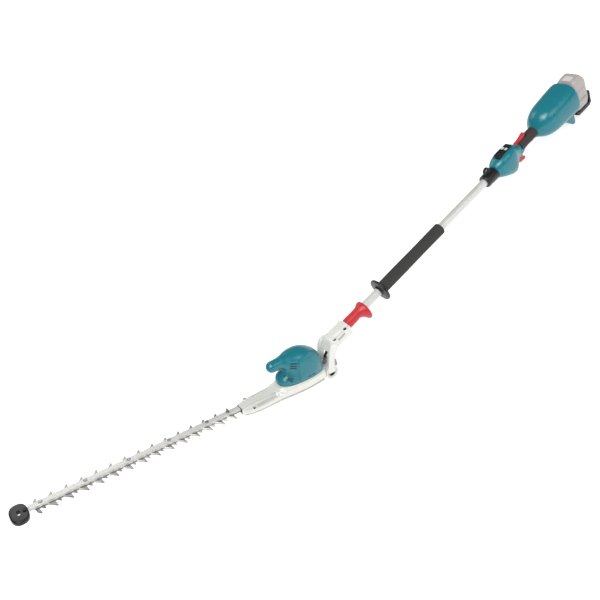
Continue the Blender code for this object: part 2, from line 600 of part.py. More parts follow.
def drive(look, head):
    """Motor, reduction gear and crank."""
    spot = (MOTOR_X, 0.0)
    axis = (MOTOR_X, 0.0, 0.0)
    solid("motor_stator", ring(17.0, 29.0, 30.0, 62.0, "Z", spot, 28), look["copper"], head)
    plate = [(9.3, 62.4), (29.0, 62.4), (29.0, 65.2), (9.3, 65.2)]
    solid("motor_end_plate", turned(plate, 28, "Z", spot), look["black_nylon"], head)
    solid("lower_bearing", ring(4.3, 10.0, 17.4, 20.6, "Z", spot, 20), look["gear_steel"], head)
    solid("upper_bearing", ring(4.3, 9.0, 62.4, 66.0, "Z", spot, 20), look["gear_steel"], head)
    rotor = [(0, 5.2), (4.0, 5.2), (4.0, 31.0), (16.3, 31.0), (16.3, 61.0), (4.0, 61.0), (4.0, 80.0), (0, 80.0)]
    solid("motor_rotor", turned(rotor, 20, "Z", spot, closed=False), look["gear_steel"], head, axis)
    blades = []
    for k in range(9):
        a = math.radians(40.0 * k)
        for turn, r in ((-6.0, 9.0), (4.0, 23.0), (14.0, 23.0), (8.0, 9.0)):
            b = a + math.radians(turn)
            blades.append((MOTOR_X + r * math.cos(b), r * math.sin(b)))
    fan = slab(blades, 68.5, 76.5, "XY", [circle(MOTOR_X, 0, 4.3, 16)])
    solid("cooling_fan", fan, look["black_nylon"], head, axis)
    outline = [(MOTOR_X + u, v) for u, v in gear_outline(PINION_TEETH, 180.0 / PINION_TEETH)]
    pinion = slab(outline, 6.0, 13.0, "XY", [circle(MOTOR_X, 0, 4.3, 16)])
    solid("drive_pinion", pinion, look["gear_steel"], head, axis)
    place = (CRANK_X, 0.0, 0.0)
    outline = [(CRANK_X + u, v) for u, v in gear_outline(CRANK_TEETH, 180.0)]
    gear = solid("crank_gear", slab(outline, 6.5, 12.0), look["gear_steel"], head, place)
    combine(gear, "UNION", "upper_crank_pin", rod(4.5, 0.4, 8.0, "Z", (CRANK_X, STROKE), 16))
    combine(gear, "UNION", "lower_crank_pin", rod(4.5, -2.7, 8.0, "Z", (CRANK_X, -STROKE), 16))
    combine(gear, "UNION", "crank_spigot", rod(6.0, 10.0, 15.5, "Z", (CRANK_X, 0), 16))


TOOTH_X = [822.0 - TOOTH_PITCH * k for k in range(15)]
BAR_HALF = 9.0
TOOTH_REACH = 26.0


def blade_outline():
    """One edge of a shear blade from its tip to its tail, then mirrored. The long teeth lean back to the handle."""
    edge = [(829.0, BAR_HALF - 3)]
    for x in TOOTH_X:
        edge += [(min(x + 15.0, 827.5), BAR_HALF), (x - 1.4, TOOTH_REACH), (x - 4.4, TOOTH_REACH)]
        edge += [(x - 2.0, BAR_HALF)]
        if x > TOOTH_X[-1]:
            edge += [(x - 7.0, BAR_HALF), (x - 13.0, 16.5), (x - 15.6, 16.5), (x - 15.0, BAR_HALF)]
    edge += [(165.0, BAR_HALF), (CRANK_X + 27.0, 18.5), (CRANK_X - 27.0, 18.5)]
    return edge + [(x, -y) for x, y in reversed(edge)]


def blades(look, head):
    window = [(CRANK_X + u, v) for u, v in ((23.0, 14.2), (-23.0, 14.2), (-23.0, -14.2), (23.0, -14.2))]
    holes = [window] + [stadium(x, 0.0, 12.2, 3.1) for x in SCREW_X]
    for name, low, high in (("upper_blade", 0.2, 2.7), ("lower_blade", -2.7, -0.2)):
        shape = slab(blade_outline(), low, high, "XY", holes)
        solid(name, shape, look["blade_steel"], head, (CRANK_X, 0.0, low))
    # The guide bar is a tongue from the gear case to the tip guard, thick where it lies in the open.
    tongue = [(853.5, 5.5), (853.5, -5.5), (849.0, -8.5), (262.0, -8.5), (262.0, 8.5), (849.0, 8.5)]
    bar = solid("guide_bar", slab(tongue, 3.0, 4.9, "XY"), look["pole_aluminium"], head)
    section = [(-8.5, 3.0), (8.5, 3.0), (8.5, 7.4), (6.5, BAR_TOP), (-6.5, BAR_TOP), (-8.5, 7.4)]
    combine(bar, "UNION", "bar_rail", slab(section, 292.5, 838.5, "YZ"))
    for i, x in enumerate((*SCREW_X, 847.5), 1):
        combine(bar, "DIFFERENCE", f"bar_hole_{i}", rod(2.9, 1, 12, "Z", (x, 0), 12))
    screw = [(0, 12.0), (4.4, 12.0), (4.8, BAR_TOP + GAP), (2.6, BAR_TOP + GAP), (2.6, -3.0), (4.8, -3.0)]
    screw += [(4.8, -6.0), (0, -6.0)]
    for i, x in enumerate(SCREW_X, 1):
        solid(f"blade_screw_{i}", turned(screw, 12, "Z", (x, 0), closed=False), look["gear_steel"], head)


def tip_guard(look, head):
    slot = [(857.5, 0.0), *circle(861.5, 5.0, 3.6, 6, 0.0, 180.0), *circle(861.5, -5.0, 3.6, 6, 180.0, 180.0)][1:]
    outline = oval((TIP_X - 20.3, 0.0), 20.3, 31.0, 2.5, 32)
    guard = solid("tip_guard", slab(outline, TIP_LOW, 7.0, "XY", [slot]), look["black_nylon"], head)
    combine(guard, "DIFFERENCE", "bar_slot", box((820, -8.9, 2.6), (854.2, 8.9, 5.3)))
    combine(guard, "DIFFERENCE", "guard_screw_hole", rod(2.9, -3.5, 20, "Z", (847.5, 0), 12))
    screw = [(0, 9.4), (4.6, 9.4), (5.0, 7.3), (2.5, 7.3), (2.5, -3.2), (0, -3.2)]
    shape = turned(screw, 12, "Z", (847.5, 0), closed=False)
    solid("tip_guard_screw", shape, look["dark_steel"], head)


def index_sector(look, head):
    """The notched sector that the lock plate holds the head by."""
    rim, depth, first, last, step = 38.0, 4.5, 64.0, 186.0, 15.0
    middle = first + 11.0
    points = circle(0, 0, rim, 2, first, 7.0)
    while middle < last - 8:
        for turn, radius in ((-3.6, rim), (-2.6, rim - depth), (2.6, rim - depth), (3.6, rim)):
            a = math.radians(middle + turn)
            points.append((radius * math.cos(a), radius * math.sin(a)))
        middle += step
    points += circle(0, 0, rim, 2, last - 3, 3.0)
    points += circle(0, 0, EYE_R - 0.1, 14, last, first - last)
    solid("index_sector", slab(points, -4.0, 4.0, "XZ"), look["dark_steel"], head)


def main():
    clear_scene()
    look = looks()
    tool = empty("tool_frame", (PIVOT_X, 0.0, EYE_R))
    head = empty("head_frame", (0.0, 0.0, 0.0), tool, -TILT)
    pole(look, tool)
    power_cable(look, tool)
    strap_collar(look, tool)
    housing(look, tool)
    handle_rubber(look, tool)
    controls(look, tool)
    power_unit(look, tool)
    release_sleeve(look, tool)
    arm(look, tool)
    gear_case(look, head)
    head_cover(look, head)
    drive(look, head)
    blades(look, head)
    tip_guard(look, head)
    index_sector(look, head)


main()
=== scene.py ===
# Pole hedge trimmer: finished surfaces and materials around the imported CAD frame.
# Shapes are written in millimetres in two working frames that meet at the head's pivot: the tool frame, +X
# along the pole towards the blade, and the head frame, +X along the blade with Z = 0 between the two blades.
import json
import math

import bmesh
import bpy
import numpy as np
from mathutils import Matrix, Vector
from mathutils.geometry import tessellate_polygon


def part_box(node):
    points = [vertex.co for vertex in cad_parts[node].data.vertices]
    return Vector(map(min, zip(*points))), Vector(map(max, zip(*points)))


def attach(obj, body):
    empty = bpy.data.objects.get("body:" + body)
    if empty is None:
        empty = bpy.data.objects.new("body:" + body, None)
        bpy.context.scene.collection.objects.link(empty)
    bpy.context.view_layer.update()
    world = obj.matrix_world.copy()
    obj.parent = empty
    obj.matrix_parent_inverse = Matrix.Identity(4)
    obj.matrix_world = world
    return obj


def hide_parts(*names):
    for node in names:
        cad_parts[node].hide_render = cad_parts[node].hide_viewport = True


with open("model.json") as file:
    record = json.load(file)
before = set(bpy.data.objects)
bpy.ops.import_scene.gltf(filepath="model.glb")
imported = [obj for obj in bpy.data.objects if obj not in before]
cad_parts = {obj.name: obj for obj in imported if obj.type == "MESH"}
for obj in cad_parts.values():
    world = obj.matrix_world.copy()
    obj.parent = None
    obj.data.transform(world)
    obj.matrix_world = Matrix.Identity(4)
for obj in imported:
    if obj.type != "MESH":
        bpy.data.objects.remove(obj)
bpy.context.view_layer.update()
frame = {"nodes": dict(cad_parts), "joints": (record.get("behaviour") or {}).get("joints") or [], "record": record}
joints = {joint["name"]: joint for joint in frame["joints"]}
slotOfNode = {part["node"]: part["material_slot"] for part in frame["record"]["subparts"]}
bodyOfNode = {}
for bodyName, members in frame["record"]["behaviour"]["bodies"].items():
    for member in members:
        bodyOfNode[member] = bodyName

mm = 0.001
pivot = np.array(joints["head_tilt"]["pos_m"])
alongBlade = np.array(joints["upper_blade_slide"]["axis"])
headAxes = np.array([alongBlade, [0.0, 1.0, 0.0], [-alongBlade[2], 0.0, alongBlade[0]]])
poleHigh = (sum(corner.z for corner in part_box("pole_tube")) / 2 - pivot[2]) / mm  # pole axis above the pivot
crankX = float((np.array(joints["crank_spin"]["pos_m"]) - pivot) @ alongBlade / mm)


def inTool(points):
    return pivot + np.asarray(points, float) * mm


def inHead(points):
    return pivot + (np.asarray(points, float) * mm) @ headAxes


def headX(node, end):
    # where a head node starts (end 0) or stops (end 1) along the blade
    mesh = frame["nodes"][node].data
    places = np.zeros(len(mesh.vertices) * 3)
    mesh.vertices.foreach_get("co", places)
    along = (places.reshape(-1, 3) - pivot) @ alongBlade / mm
    return float(along.max() if end else along.min())


# maths for surfaces


def curveThrough(knots, values, at):
    # cubic Hermite through the knots, with slopes from their neighbours
    knots, values, at = np.asarray(knots, float), np.asarray(values, float), np.asarray(at, float)
    slopes = np.gradient(values, knots, axis=0)
    i = np.clip(np.searchsorted(knots, at) - 1, 0, len(knots) - 2)
    span = knots[i + 1] - knots[i]
    t = (at - knots[i]) / span
    if values.ndim > 1:
        span, t = span[:, None], t[:, None]
    start, end = values[i], values[i + 1]
    a, b = slopes[i] * span, slopes[i + 1] * span
    return start + t * (a + t * (3 * (end - start) - 2 * a - b + t * (2 * (start - end) + a + b)))


def signedPower(value, exponent):
    return np.sign(value) * np.abs(value) ** exponent


def superOval(angles, halfU, halfV, fullness):
    # u = halfU |cos a|^(2/n), v = halfV |sin a|^(2/n), signs kept: an ellipse at n = 2 and squarer above it
    return halfU * signedPower(np.cos(angles), 2 / fullness), halfV * signedPower(np.sin(angles), 2 / fullness)


def smoothStep(value, low, high):
    t = np.clip((value - low) / (high - low), 0, 1)
    return t * t * (3 - 2 * t)


def slotMask(u, v, centre, halfLength, halfWidth, turn, soft):
    # 1 inside a round-ended slot and 0 outside, from the distance to the slot's middle line
    a = math.radians(turn)
    du, dv = u - centre[0], v - centre[1]
    along, across = du * math.cos(a) + dv * math.sin(a), dv * math.cos(a) - du * math.sin(a)
    beyond = np.maximum(np.abs(along) - (halfLength - halfWidth), 0)
    return 1 - smoothStep(np.hypot(beyond, across), halfWidth - soft, halfWidth + soft)


def boxMask(u, v, uRange, vRange, soft):
    far = [np.abs(p - (r[0] + r[1]) / 2) - (r[1] - r[0]) / 2 for p, r in ((u, uRange), (v, vRange))]
    return 1 - smoothStep(np.maximum(far[0], far[1]), -soft, soft)


def roundCorners(outline, count, reach):
    # an outline resampled evenly, then averaged over a window of the given reach, which rounds its corners
    outline = np.asarray(outline, float)
    closed = np.vstack([outline, outline[:1]])
    walked = np.concatenate([[0], np.cumsum(np.linalg.norm(np.diff(closed, axis=0), axis=1))])
    even = np.linspace(0, walked[-1], count, endpoint=False)
    even = np.stack([np.interp(even, walked, closed[:, k]) for k in range(outline.shape[1])], axis=1)
    steps = max(int(round(reach / (walked[-1] / count))), 1)
    return sum(np.roll(even, k, axis=0) for k in range(-steps, steps + 1)) / (2 * steps + 1)


def insetOutline(outline, amount):
    # each corner moves inwards along the mean of its two edge normals
    ahead = np.roll(outline, -1, axis=0) - outline
    ahead /= np.linalg.norm(ahead, axis=1, keepdims=True)
    behind = np.roll(ahead, 1, axis=0)
    normal = np.stack([-(ahead + behind)[:, 1], (ahead + behind)[:, 0]], axis=1)
    normal /= np.maximum(np.linalg.norm(normal, axis=1, keepdims=True), 1e-6)
    spread = np.clip((normal * np.stack([-ahead[:, 1], ahead[:, 0]], axis=1)).sum(1, keepdims=True), 0.6, 1)
    area = (outline[:, 0] * np.roll(outline[:, 1], -1) - outline[:, 1] * np.roll(outline[:, 0], -1)).sum()
    return outline + normal * (amount * np.sign(area) / spread)


# pieces


def addPiece(name, points, faces, body, slotName, standsFor=(), marks=None, sharp=32.0):
    mesh = bpy.data.meshes.new(name)
    mesh.from_pydata(np.asarray(points).tolist(), [], faces)
    net = bmesh.new()
    net.from_mesh(mesh)
    bmesh.ops.recalc_face_normals(net, faces=net.faces)
    net.to_mesh(mesh)
    net.free()
    for mark, values in (marks or {}).items():
        layer = mesh.attributes.new(mark, "FLOAT", "POINT")
        layer.data.foreach_set("value", np.asarray(values, np.float32))
    mesh.shade_smooth()
    mesh.set_sharp_from_angle(angle=math.radians(sharp))
    mesh.materials.append(finishes[slotName])
    piece = bpy.data.objects.new(name, mesh)
    bpy.context.scene.collection.objects.link(piece)
    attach(piece, body)
    if standsFor:
        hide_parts(*standsFor)
    return piece


def ringPiece(name, rings, body, slotName, standsFor=(), marks=None, looped=False, sharp=32.0):
    # rings is an array of rows, each a closed loop; ends are closed on a middle point unless the rows loop too
    rows, columns = rings.shape[:2]
    i = np.arange(rows if looped else rows - 1)[:, None]
    j = np.arange(columns)[None, :]
    k, m = (i + 1) % rows, (j + 1) % columns
    quads = np.stack([i * columns + j, i * columns + m, k * columns + m, k * columns + j], axis=-1)
    points, faces = rings.reshape(-1, 3), quads.reshape(-1, 4).tolist()
    marks = {mark: np.asarray(values).reshape(-1) for mark, values in (marks or {}).items()}
    if not looped:
        points = np.vstack([points, rings[0].mean(0), rings[-1].mean(0)])
        for centre, first in ((rows * columns, 0), (rows * columns + 1, (rows - 1) * columns)):
            j = np.arange(columns)
            fan = np.stack([first + j, first + (j + 1) % columns, np.full(columns, centre)], axis=-1)
            faces += fan.tolist()
        marks = {mark: np.append(values, [values[0], values[-1]]) for mark, values in marks.items()}
    return addPiece(name, points, faces, body, slotName, standsFor, marks, sharp)


def turnedPiece(name, profile, place, body, slotName, standsFor=(), count=96, looped=True, sharp=32.0):
    # a profile of (radius, along) carried round an axis; place turns (round u, round v, along) into the row frame
    profile = np.asarray(profile, float)
    angles = np.linspace(0, 2 * math.pi, count, endpoint=False)
    u = profile[:, :1] * np.cos(angles)
    v = profile[:, :1] * np.sin(angles)
    along = np.broadcast_to(profile[:, 1:], u.shape)
    return ringPiece(name, place(u, v, along), body, slotName, standsFor, looped=looped, sharp=sharp)


def aroundPole(u, v, along):
    return inTool(np.stack([along, u, poleHigh + v], axis=-1))


def aroundHinge(u, w, along):
    return inTool(np.stack([u, along, w], axis=-1))


def sheetPiece(name, layers, holes, place, body, slotName, standsFor=(), sharp=32.0):
    # a flat piece from layers of (outline, height), bottom first, all with equal counts, and holes right through
    count = len(layers[0][0])
    points = [np.column_stack([outline, np.full(count, height)]) for outline, height in layers]
    faces = []
    for layer in range(len(layers) - 1):
        j = np.arange(count)
        low, high = layer * count, (layer + 1) * count
        faces += np.stack([low + j, low + (j + 1) % count, high + (j + 1) % count, high + j], axis=-1).tolist()
    ends = (0, (len(layers) - 1) * count)
    start = len(layers) * count
    holeStarts = []
    for hole in holes:
        size = len(hole)
        points += [np.column_stack([hole, np.full(size, height)]) for height in (layers[0][1], layers[-1][1])]
        j = np.arange(size)
        a, b = start, start + size
        faces += np.stack([a + j, a + (j + 1) % size, b + (j + 1) % size, b + j], axis=-1).tolist()
        holeStarts.append((a, b, size))
        start += 2 * size
    for end, (outline, _) in enumerate((layers[0], layers[-1])):
        loops = [[Vector((u, v, 0)) for u, v in loop] for loop in (outline, *holes)]
        index = np.concatenate([ends[end] + np.arange(count)] + [h[end] + np.arange(h[2]) for h in holeStarts])
        faces += [[int(index[corner]) for corner in triangle] for triangle in tessellate_polygon(loops)]
    return addPiece(name, place(np.vstack(points)), faces, body, slotName, standsFor, sharp=sharp)


def softenedNode(node, width, segments=2, angle=32.0, finish=None):
    # a merged copy of a CAD node with its flat faces joined and its edges rounded
    mesh = frame["nodes"][node].data
    places = np.zeros(len(mesh.vertices) * 3)
    mesh.vertices.foreach_get("co", places)
    corners = np.zeros(len(mesh.loops), np.int32)
    mesh.loops.foreach_get("vertex_index", corners)
    merged, index = np.unique(np.round(places.reshape(-1, 3), 7), axis=0, return_inverse=True)
    triangles = index.reshape(-1)[corners].reshape(-1, 3)
    whole = (triangles != np.roll(triangles, 1, axis=1)).all(1)
    slotName = finish or slotOfNode[node]
    piece = addPiece("soft_" + node, merged, triangles[whole].tolist(), bodyOfNode[node], slotName, (node,))
    net = bmesh.new()
    net.from_mesh(piece.data)
    bmesh.ops.dissolve_limit(net, angle_limit=math.radians(1.5), verts=net.verts, edges=net.edges)
    net.to_mesh(piece.data)
    net.free()
    piece.data.shade_smooth()
    bevel = piece.modifiers.new("edges", "BEVEL")
    bevel.width = width * mm
    bevel.segments = segments
    bevel.limit_method = "ANGLE"
    bevel.angle_limit = math.radians(angle)
    bevel.harden_normals = True
    return piece


# materials


def linear(hexColour):
    # sRGB hex to the linear colour that nodes use
    values = [int(hexColour[i : i + 2], 16) / 255 for i in (1, 3, 5)]
    return (*[v / 12.92 if v <= 0.04045 else ((v + 0.055) / 1.055) ** 2.4 for v in values], 1.0)


def addNode(tree, kind, inputs=None, **settings):
    made = tree.nodes.new("ShaderNode" + kind)
    for setting, value in settings.items():
        setattr(made, setting, value)
    for socket, value in (inputs or {}).items():
        if isinstance(value, bpy.types.NodeSocket):
            tree.links.new(value, made.inputs[socket])
        else:
            made.inputs[socket].default_value = value
    return made


def startFinish(name, roughness, metallic=0.0, **constants):
    made = bpy.data.materials.new(name)
    made.use_nodes = True
    tree = made.node_tree
    shader = tree.nodes["Principled BSDF"]
    shader.inputs["Metallic"].default_value = metallic
    shader.inputs["Roughness"].default_value = roughness
    for socket, value in constants.items():
        shader.inputs[socket.replace("_", " ")].default_value = value
    return made, tree, shader


patchSize = 40.0  # mm over which a colour drifts


def grainedFinish(name, light, dark, roughness, grain, depth, metallic=0.0, streak=(1, 1, 1), **constants):
    # Colour and roughness drift slowly between two shades, over a grain of `grain` mm that stands `depth` mm high.
    # The mark "shade" is painted shade: it darkens the base colour in recesses, down to 0.12 of it.
    made, tree, shader = startFinish(name, roughness, metallic, **constants)
    coords = addNode(tree, "TexCoord").outputs["Object"]
    stretched = addNode(tree, "Mapping", {"Vector": coords, "Scale": streak}).outputs["Vector"]
    drift = addNode(tree, "TexNoise",
                    {"Vector": coords, "Scale": 1000 / patchSize, "Detail": 3.0, "Roughness": 0.6})
    fine = addNode(tree, "TexNoise", {"Vector": stretched, "Scale": 1000 / grain, "Detail": 2.0, "Roughness": 0.5})
    colour = addNode(tree, "Mix", {0: drift.outputs["Fac"], 6: linear(dark), 7: linear(light)}, data_type="RGBA")
    speckle = addNode(tree, "MapRange", {"Value": fine.outputs["Fac"], 1: 0.3, 2: 0.7, 3: 0.93, 4: 1.05})
    shade = addNode(tree, "Attribute", attribute_name="shade")
    shadeLevel = addNode(tree, "MapRange", {"Value": shade.outputs["Fac"], 1: 0.0, 2: 1.0, 3: 1.0, 4: 0.12})
    # the grain's speckle times the painted shade
    level = addNode(tree, "Math", {0: speckle.outputs[0], 1: shadeLevel.outputs[0]}, operation="MULTIPLY")
    shadedGrainColour = addNode(tree, "VectorMath", {0: colour.outputs[2], "Scale": level.outputs[0]}, operation="SCALE")
    tree.links.new(shadedGrainColour.outputs[0], shader.inputs["Base Color"])
    rough = addNode(tree, "MapRange", {"Value": drift.outputs["Fac"], 1: 0.25, 2: 0.75, 3: roughness * 0.86,
                                       4: min(roughness * 1.14, 1.0)})
    tree.links.new(rough.outputs[0], shader.inputs["Roughness"])
    bump = addNode(tree, "Bump", {"Height": fine.outputs["Fac"], "Strength": 0.6, "Distance": depth * mm})
    tree.links.new(bump.outputs[0], shader.inputs["Normal"])
    return made


finishes = {}


def addFinish(slotName, *look, **constants):
    finishes[slotName] = grainedFinish(*look, **constants)


# a smooth skin: a deep even colour with narrow, soft-edged highlights
addFinish("teal_abs", "moulded ABS, teal", "#087b88", "#056f7c", 0.26, 0.9, 0.02, IOR=1.55)
# satin black, with a fine grain that breaks its highlights up
addFinish("black_nylon", "glass-filled nylon, black", "#161617", "#0f0f10", 0.34, 0.8, 0.03, IOR=1.5)
# a warm near-black that stays matt from every side
addFinish("grip_rubber", "TPE overmould, dark", "#3a3230", "#292423", 0.62, 1.1, 0.08)
# open cells take the light in, so it looks flat and dark
addFinish("foam", "NBR foam, black", "#3b3b39", "#2e2e2d", 0.92, 1.3, 0.25)
# a strong red with a low, broad sheen
addFinish("red_nylon", "moulded nylon, red", "#c9262f", "#b81c26", 0.38, 0.9, 0.02, IOR=1.53)
# paint over a casting: near white, and it turns slightly metallic towards the light
addFinish("cast_aluminium", "die-cast aluminium, silver paint", "#e6e7e1", "#d8d9d3", 0.4, 0.9, 0.03, metallic=0.25)
# a pale tube with faint streaks that follow its length
addFinish("pole_aluminium", "drawn aluminium, satin anodised", "#dcdcd8", "#cfcfcb", 0.4, 0.8, 0.012, metallic=0.35,
          streak=(0.03, 1, 1))
# mid grey, with grinding lines along the blade
addFinish("blade_steel", "ground carbon steel, plated", "#a9a6a1", "#8c8985", 0.34, 0.7, 0.02, metallic=0.8,
          streak=(0.08, 1, 1))
# dark fasteners with small glints
addFinish("dark_steel", "black zinc steel", "#3a3a3b", "#2a2a2b", 0.4, 0.6, 0.01, metallic=0.8)
# bare cut metal, which takes its tone from what stands round it
addFinish("gear_steel", "machined steel", "#a9a9a8", "#8f8f8e", 0.32, 0.5, 0.01, metallic=1.0)
# pale and nearly matt, so its edges look soft
addFinish("battery_grey", "moulded ABS, grey", "#b8b1ae", "#a8a19e", 0.48, 0.8, 0.03, IOR=1.53)
# pale and soft, with no hard highlight
addFinish("button_grey", "silicone, pale grey", "#d9d9d5", "#cdcdc9", 0.5, 0.8, 0.01)
# almost black, with one sharp reflection
addFinish("lens", "polycarbonate lens, smoked", "#262225", "#1c191b", 0.12, 2.0, 0.002, IOR=1.58)
# warm metal, streaked the way the wire runs
addFinish("copper", "enamelled copper winding", "#a4562a", "#8a4420", 0.35, 0.6, 0.1, metallic=1.0,
          streak=(1, 1, 0.1))
# dull green under a clear coat
addFinish("board", "coated circuit board, green", "#1f4a30", "#173a26", 0.45, 1.5, 0.02)
# a plain dark sheath with a dull sheen
addFinish("cable", "PVC sheath, black", "#1e1e1f", "#161617", 0.5, 0.9, 0.02)
for nodeName, cadNode in frame["nodes"].items():
    cadNode.data.materials.clear()
    cadNode.data.materials.append(finishes[slotOfNode[nodeName]])
print("materials done")

# camera, floor and light

cameraValues = {
    "place": (333.4, 1229.1, 1362.2),  # tool frame
    "right": (-0.6912, 0.5897, -0.4178),
    "down": (0.6870, 0.3568, -0.6330),
    "lens": 38.82,
}


def placeCamera():
    data = bpy.data.cameras.new("camera")
    data.lens = cameraValues["lens"]
    camera = bpy.data.objects.new("camera", data)
    bpy.context.scene.collection.objects.link(camera)
    right = Vector(cameraValues["right"]).normalized()
    up = -Vector(cameraValues["down"])
    up = (up - right * up.dot(right)).normalized()
    turn = Matrix((right, up, right.cross(up))).transposed().to_4x4()
    camera.matrix_world = Matrix.Translation(inTool(cameraValues["place"])) @ turn
    bpy.context.scene.camera = camera


lightValues = {
    # name: place in metres, aimed at, size in metres, watts
    "key": ((0.5, 0.6, 2.6), (0.0, 0.0, 0.1), 1.4, 26.0),
    "fill": ((-1.7, 2.4, 1.8), (-0.3, 0.0, 0.1), 1.4, 14.0),
    "back": ((-0.3, -2.6, 2.0), (0.0, 0.0, 0.1), 1.6, 16.0),
}


# the sun's strength, its disc in degrees and where it points, and the strength of the grey world round the set
skyValues = {"sun": 1.5, "disc": 30, "towards": (-0.35, -0.55, -1.0), "world": 0.24}


def placeLights():
    for name, (place, target, size, watts) in lightValues.items():
        data = bpy.data.lights.new(name, "AREA")
        data.size = size
        data.energy = watts
        light = bpy.data.objects.new(name, data)
        bpy.context.scene.collection.objects.link(light)
        light.location = place
        light.rotation_euler = (Vector(target) - Vector(place)).to_track_quat("-Z", "Y").to_euler()
    data = bpy.data.lights.new("sky", "SUN")
    data.energy = skyValues["sun"]
    data.angle = math.radians(skyValues["disc"])
    sun = bpy.data.objects.new("sky", data)
    bpy.context.scene.collection.objects.link(sun)
    sun.rotation_euler = Vector(skyValues["towards"]).to_track_quat("-Z", "Y").to_euler()
    world = bpy.data.worlds.new("studio")
    bpy.context.scene.world = world
    world.use_nodes = True
    world.node_tree.nodes["Background"].inputs["Color"].default_value = linear("#ffffff")
    world.node_tree.nodes["Background"].inputs["Strength"].default_value = skyValues["world"]


floorValues = {"reach": 9.0, "glow": 0.8}  # half its side in metres, and how strongly it is lit from below


def layFloor():
    mesh = bpy.data.meshes.new("floor")
    reach = floorValues["reach"]
    corners = [(-reach, -reach, 0), (reach, -reach, 0), (reach, reach, 0), (-reach, reach, 0)]
    mesh.from_pydata(corners, [], [(0, 1, 2, 3)])
    # plain matt paper that glows, so that shadows on it stay faint
    paper, _, shader = startFinish("backdrop paper, white", 0.9)
    shader.inputs["Base Color"].default_value = linear("#b9b9b8")
    shader.inputs["Emission Color"].default_value = linear("#ffffff")
    shader.inputs["Emission Strength"].default_value = floorValues["glow"]
    mesh.materials.append(paper)
    floor = bpy.data.objects.new("floor", mesh)
    bpy.context.scene.collection.objects.link(floor)


bpy.context.scene.view_settings.view_transform = "Standard"  # colours show as they are set
placeCamera()
placeLights()
layFloor()
print("camera, floor and light done")

# head cover

coverValues = {
    "rings": 250,
    "columns": 216,
    # height, rear end, front end, half width, fullness, up to where the horn starts to bend forward
    "walls": ((21.0, 21.0, 165.0, 35.5, 2.4), (24.0, 20.6, 166.0, 36.6, 2.4), (30.0, 20.5, 167.0, 37.5, 2.4),
              (38.0, 20.8, 165.5, 38.3, 2.4), (45.0, 21.5, 159.0, 38.9, 2.35), (52.0, 22.8, 152.5, 39.0, 2.3),
              (61.0, 26.0, 149.0, 38.7, 2.3)),
    "hinge": (157.0, 61.0),  # rings above the walls fan round this line, from level to upright
    # angle, inner reach, outer reach, half width, fullness
    "fan": ((0.0, 8.0, 131.0, 38.7, 2.3), (8.0, 8.0, 123.2, 38.0, 2.28), (14.6, 8.0, 114.7, 37.2, 2.25),
            (21.2, 8.1, 105.1, 36.2, 2.22), (27.6, 8.2, 95.9, 35.0, 2.2), (34.3, 8.3, 86.0, 33.2, 2.15),
            (43.9, 8.4, 72.3, 30.0, 2.1), (56.7, 8.6, 58.3, 25.5, 2.08), (69.5, 8.8, 48.6, 21.0, 2.05),
            (90.0, 9.0, 42.4, 16.8, 2.0)),
    "hornEnd": 180.0,
    "vents": ((128.0, 85.5, 9.0, 1.5, 14.0), (128.5, 78.5, 9.0, 1.5, 16.0), (129.5, 71.5, 9.0, 1.5, 18.0),
              (84.5, 33.0, 5.5, 1.2, 2.0), (70.5, 32.5, 5.5, 1.2, 2.0)),  # centre, half length, half width, turn
    "panel": ((49.0, 114.0), (29.0, 88.0)),  # the raised flat on each side, along X and in height
    "channel": ((116.0, 143.0), (34.0, 92.0)),  # the hollow ahead of it
    "lip": 24.3,  # height of the line above the rim
    "recess": (144.0, 43.0, 12.0, 5.0, 32.0),  # like a vent, at the cover's front lower corner
}


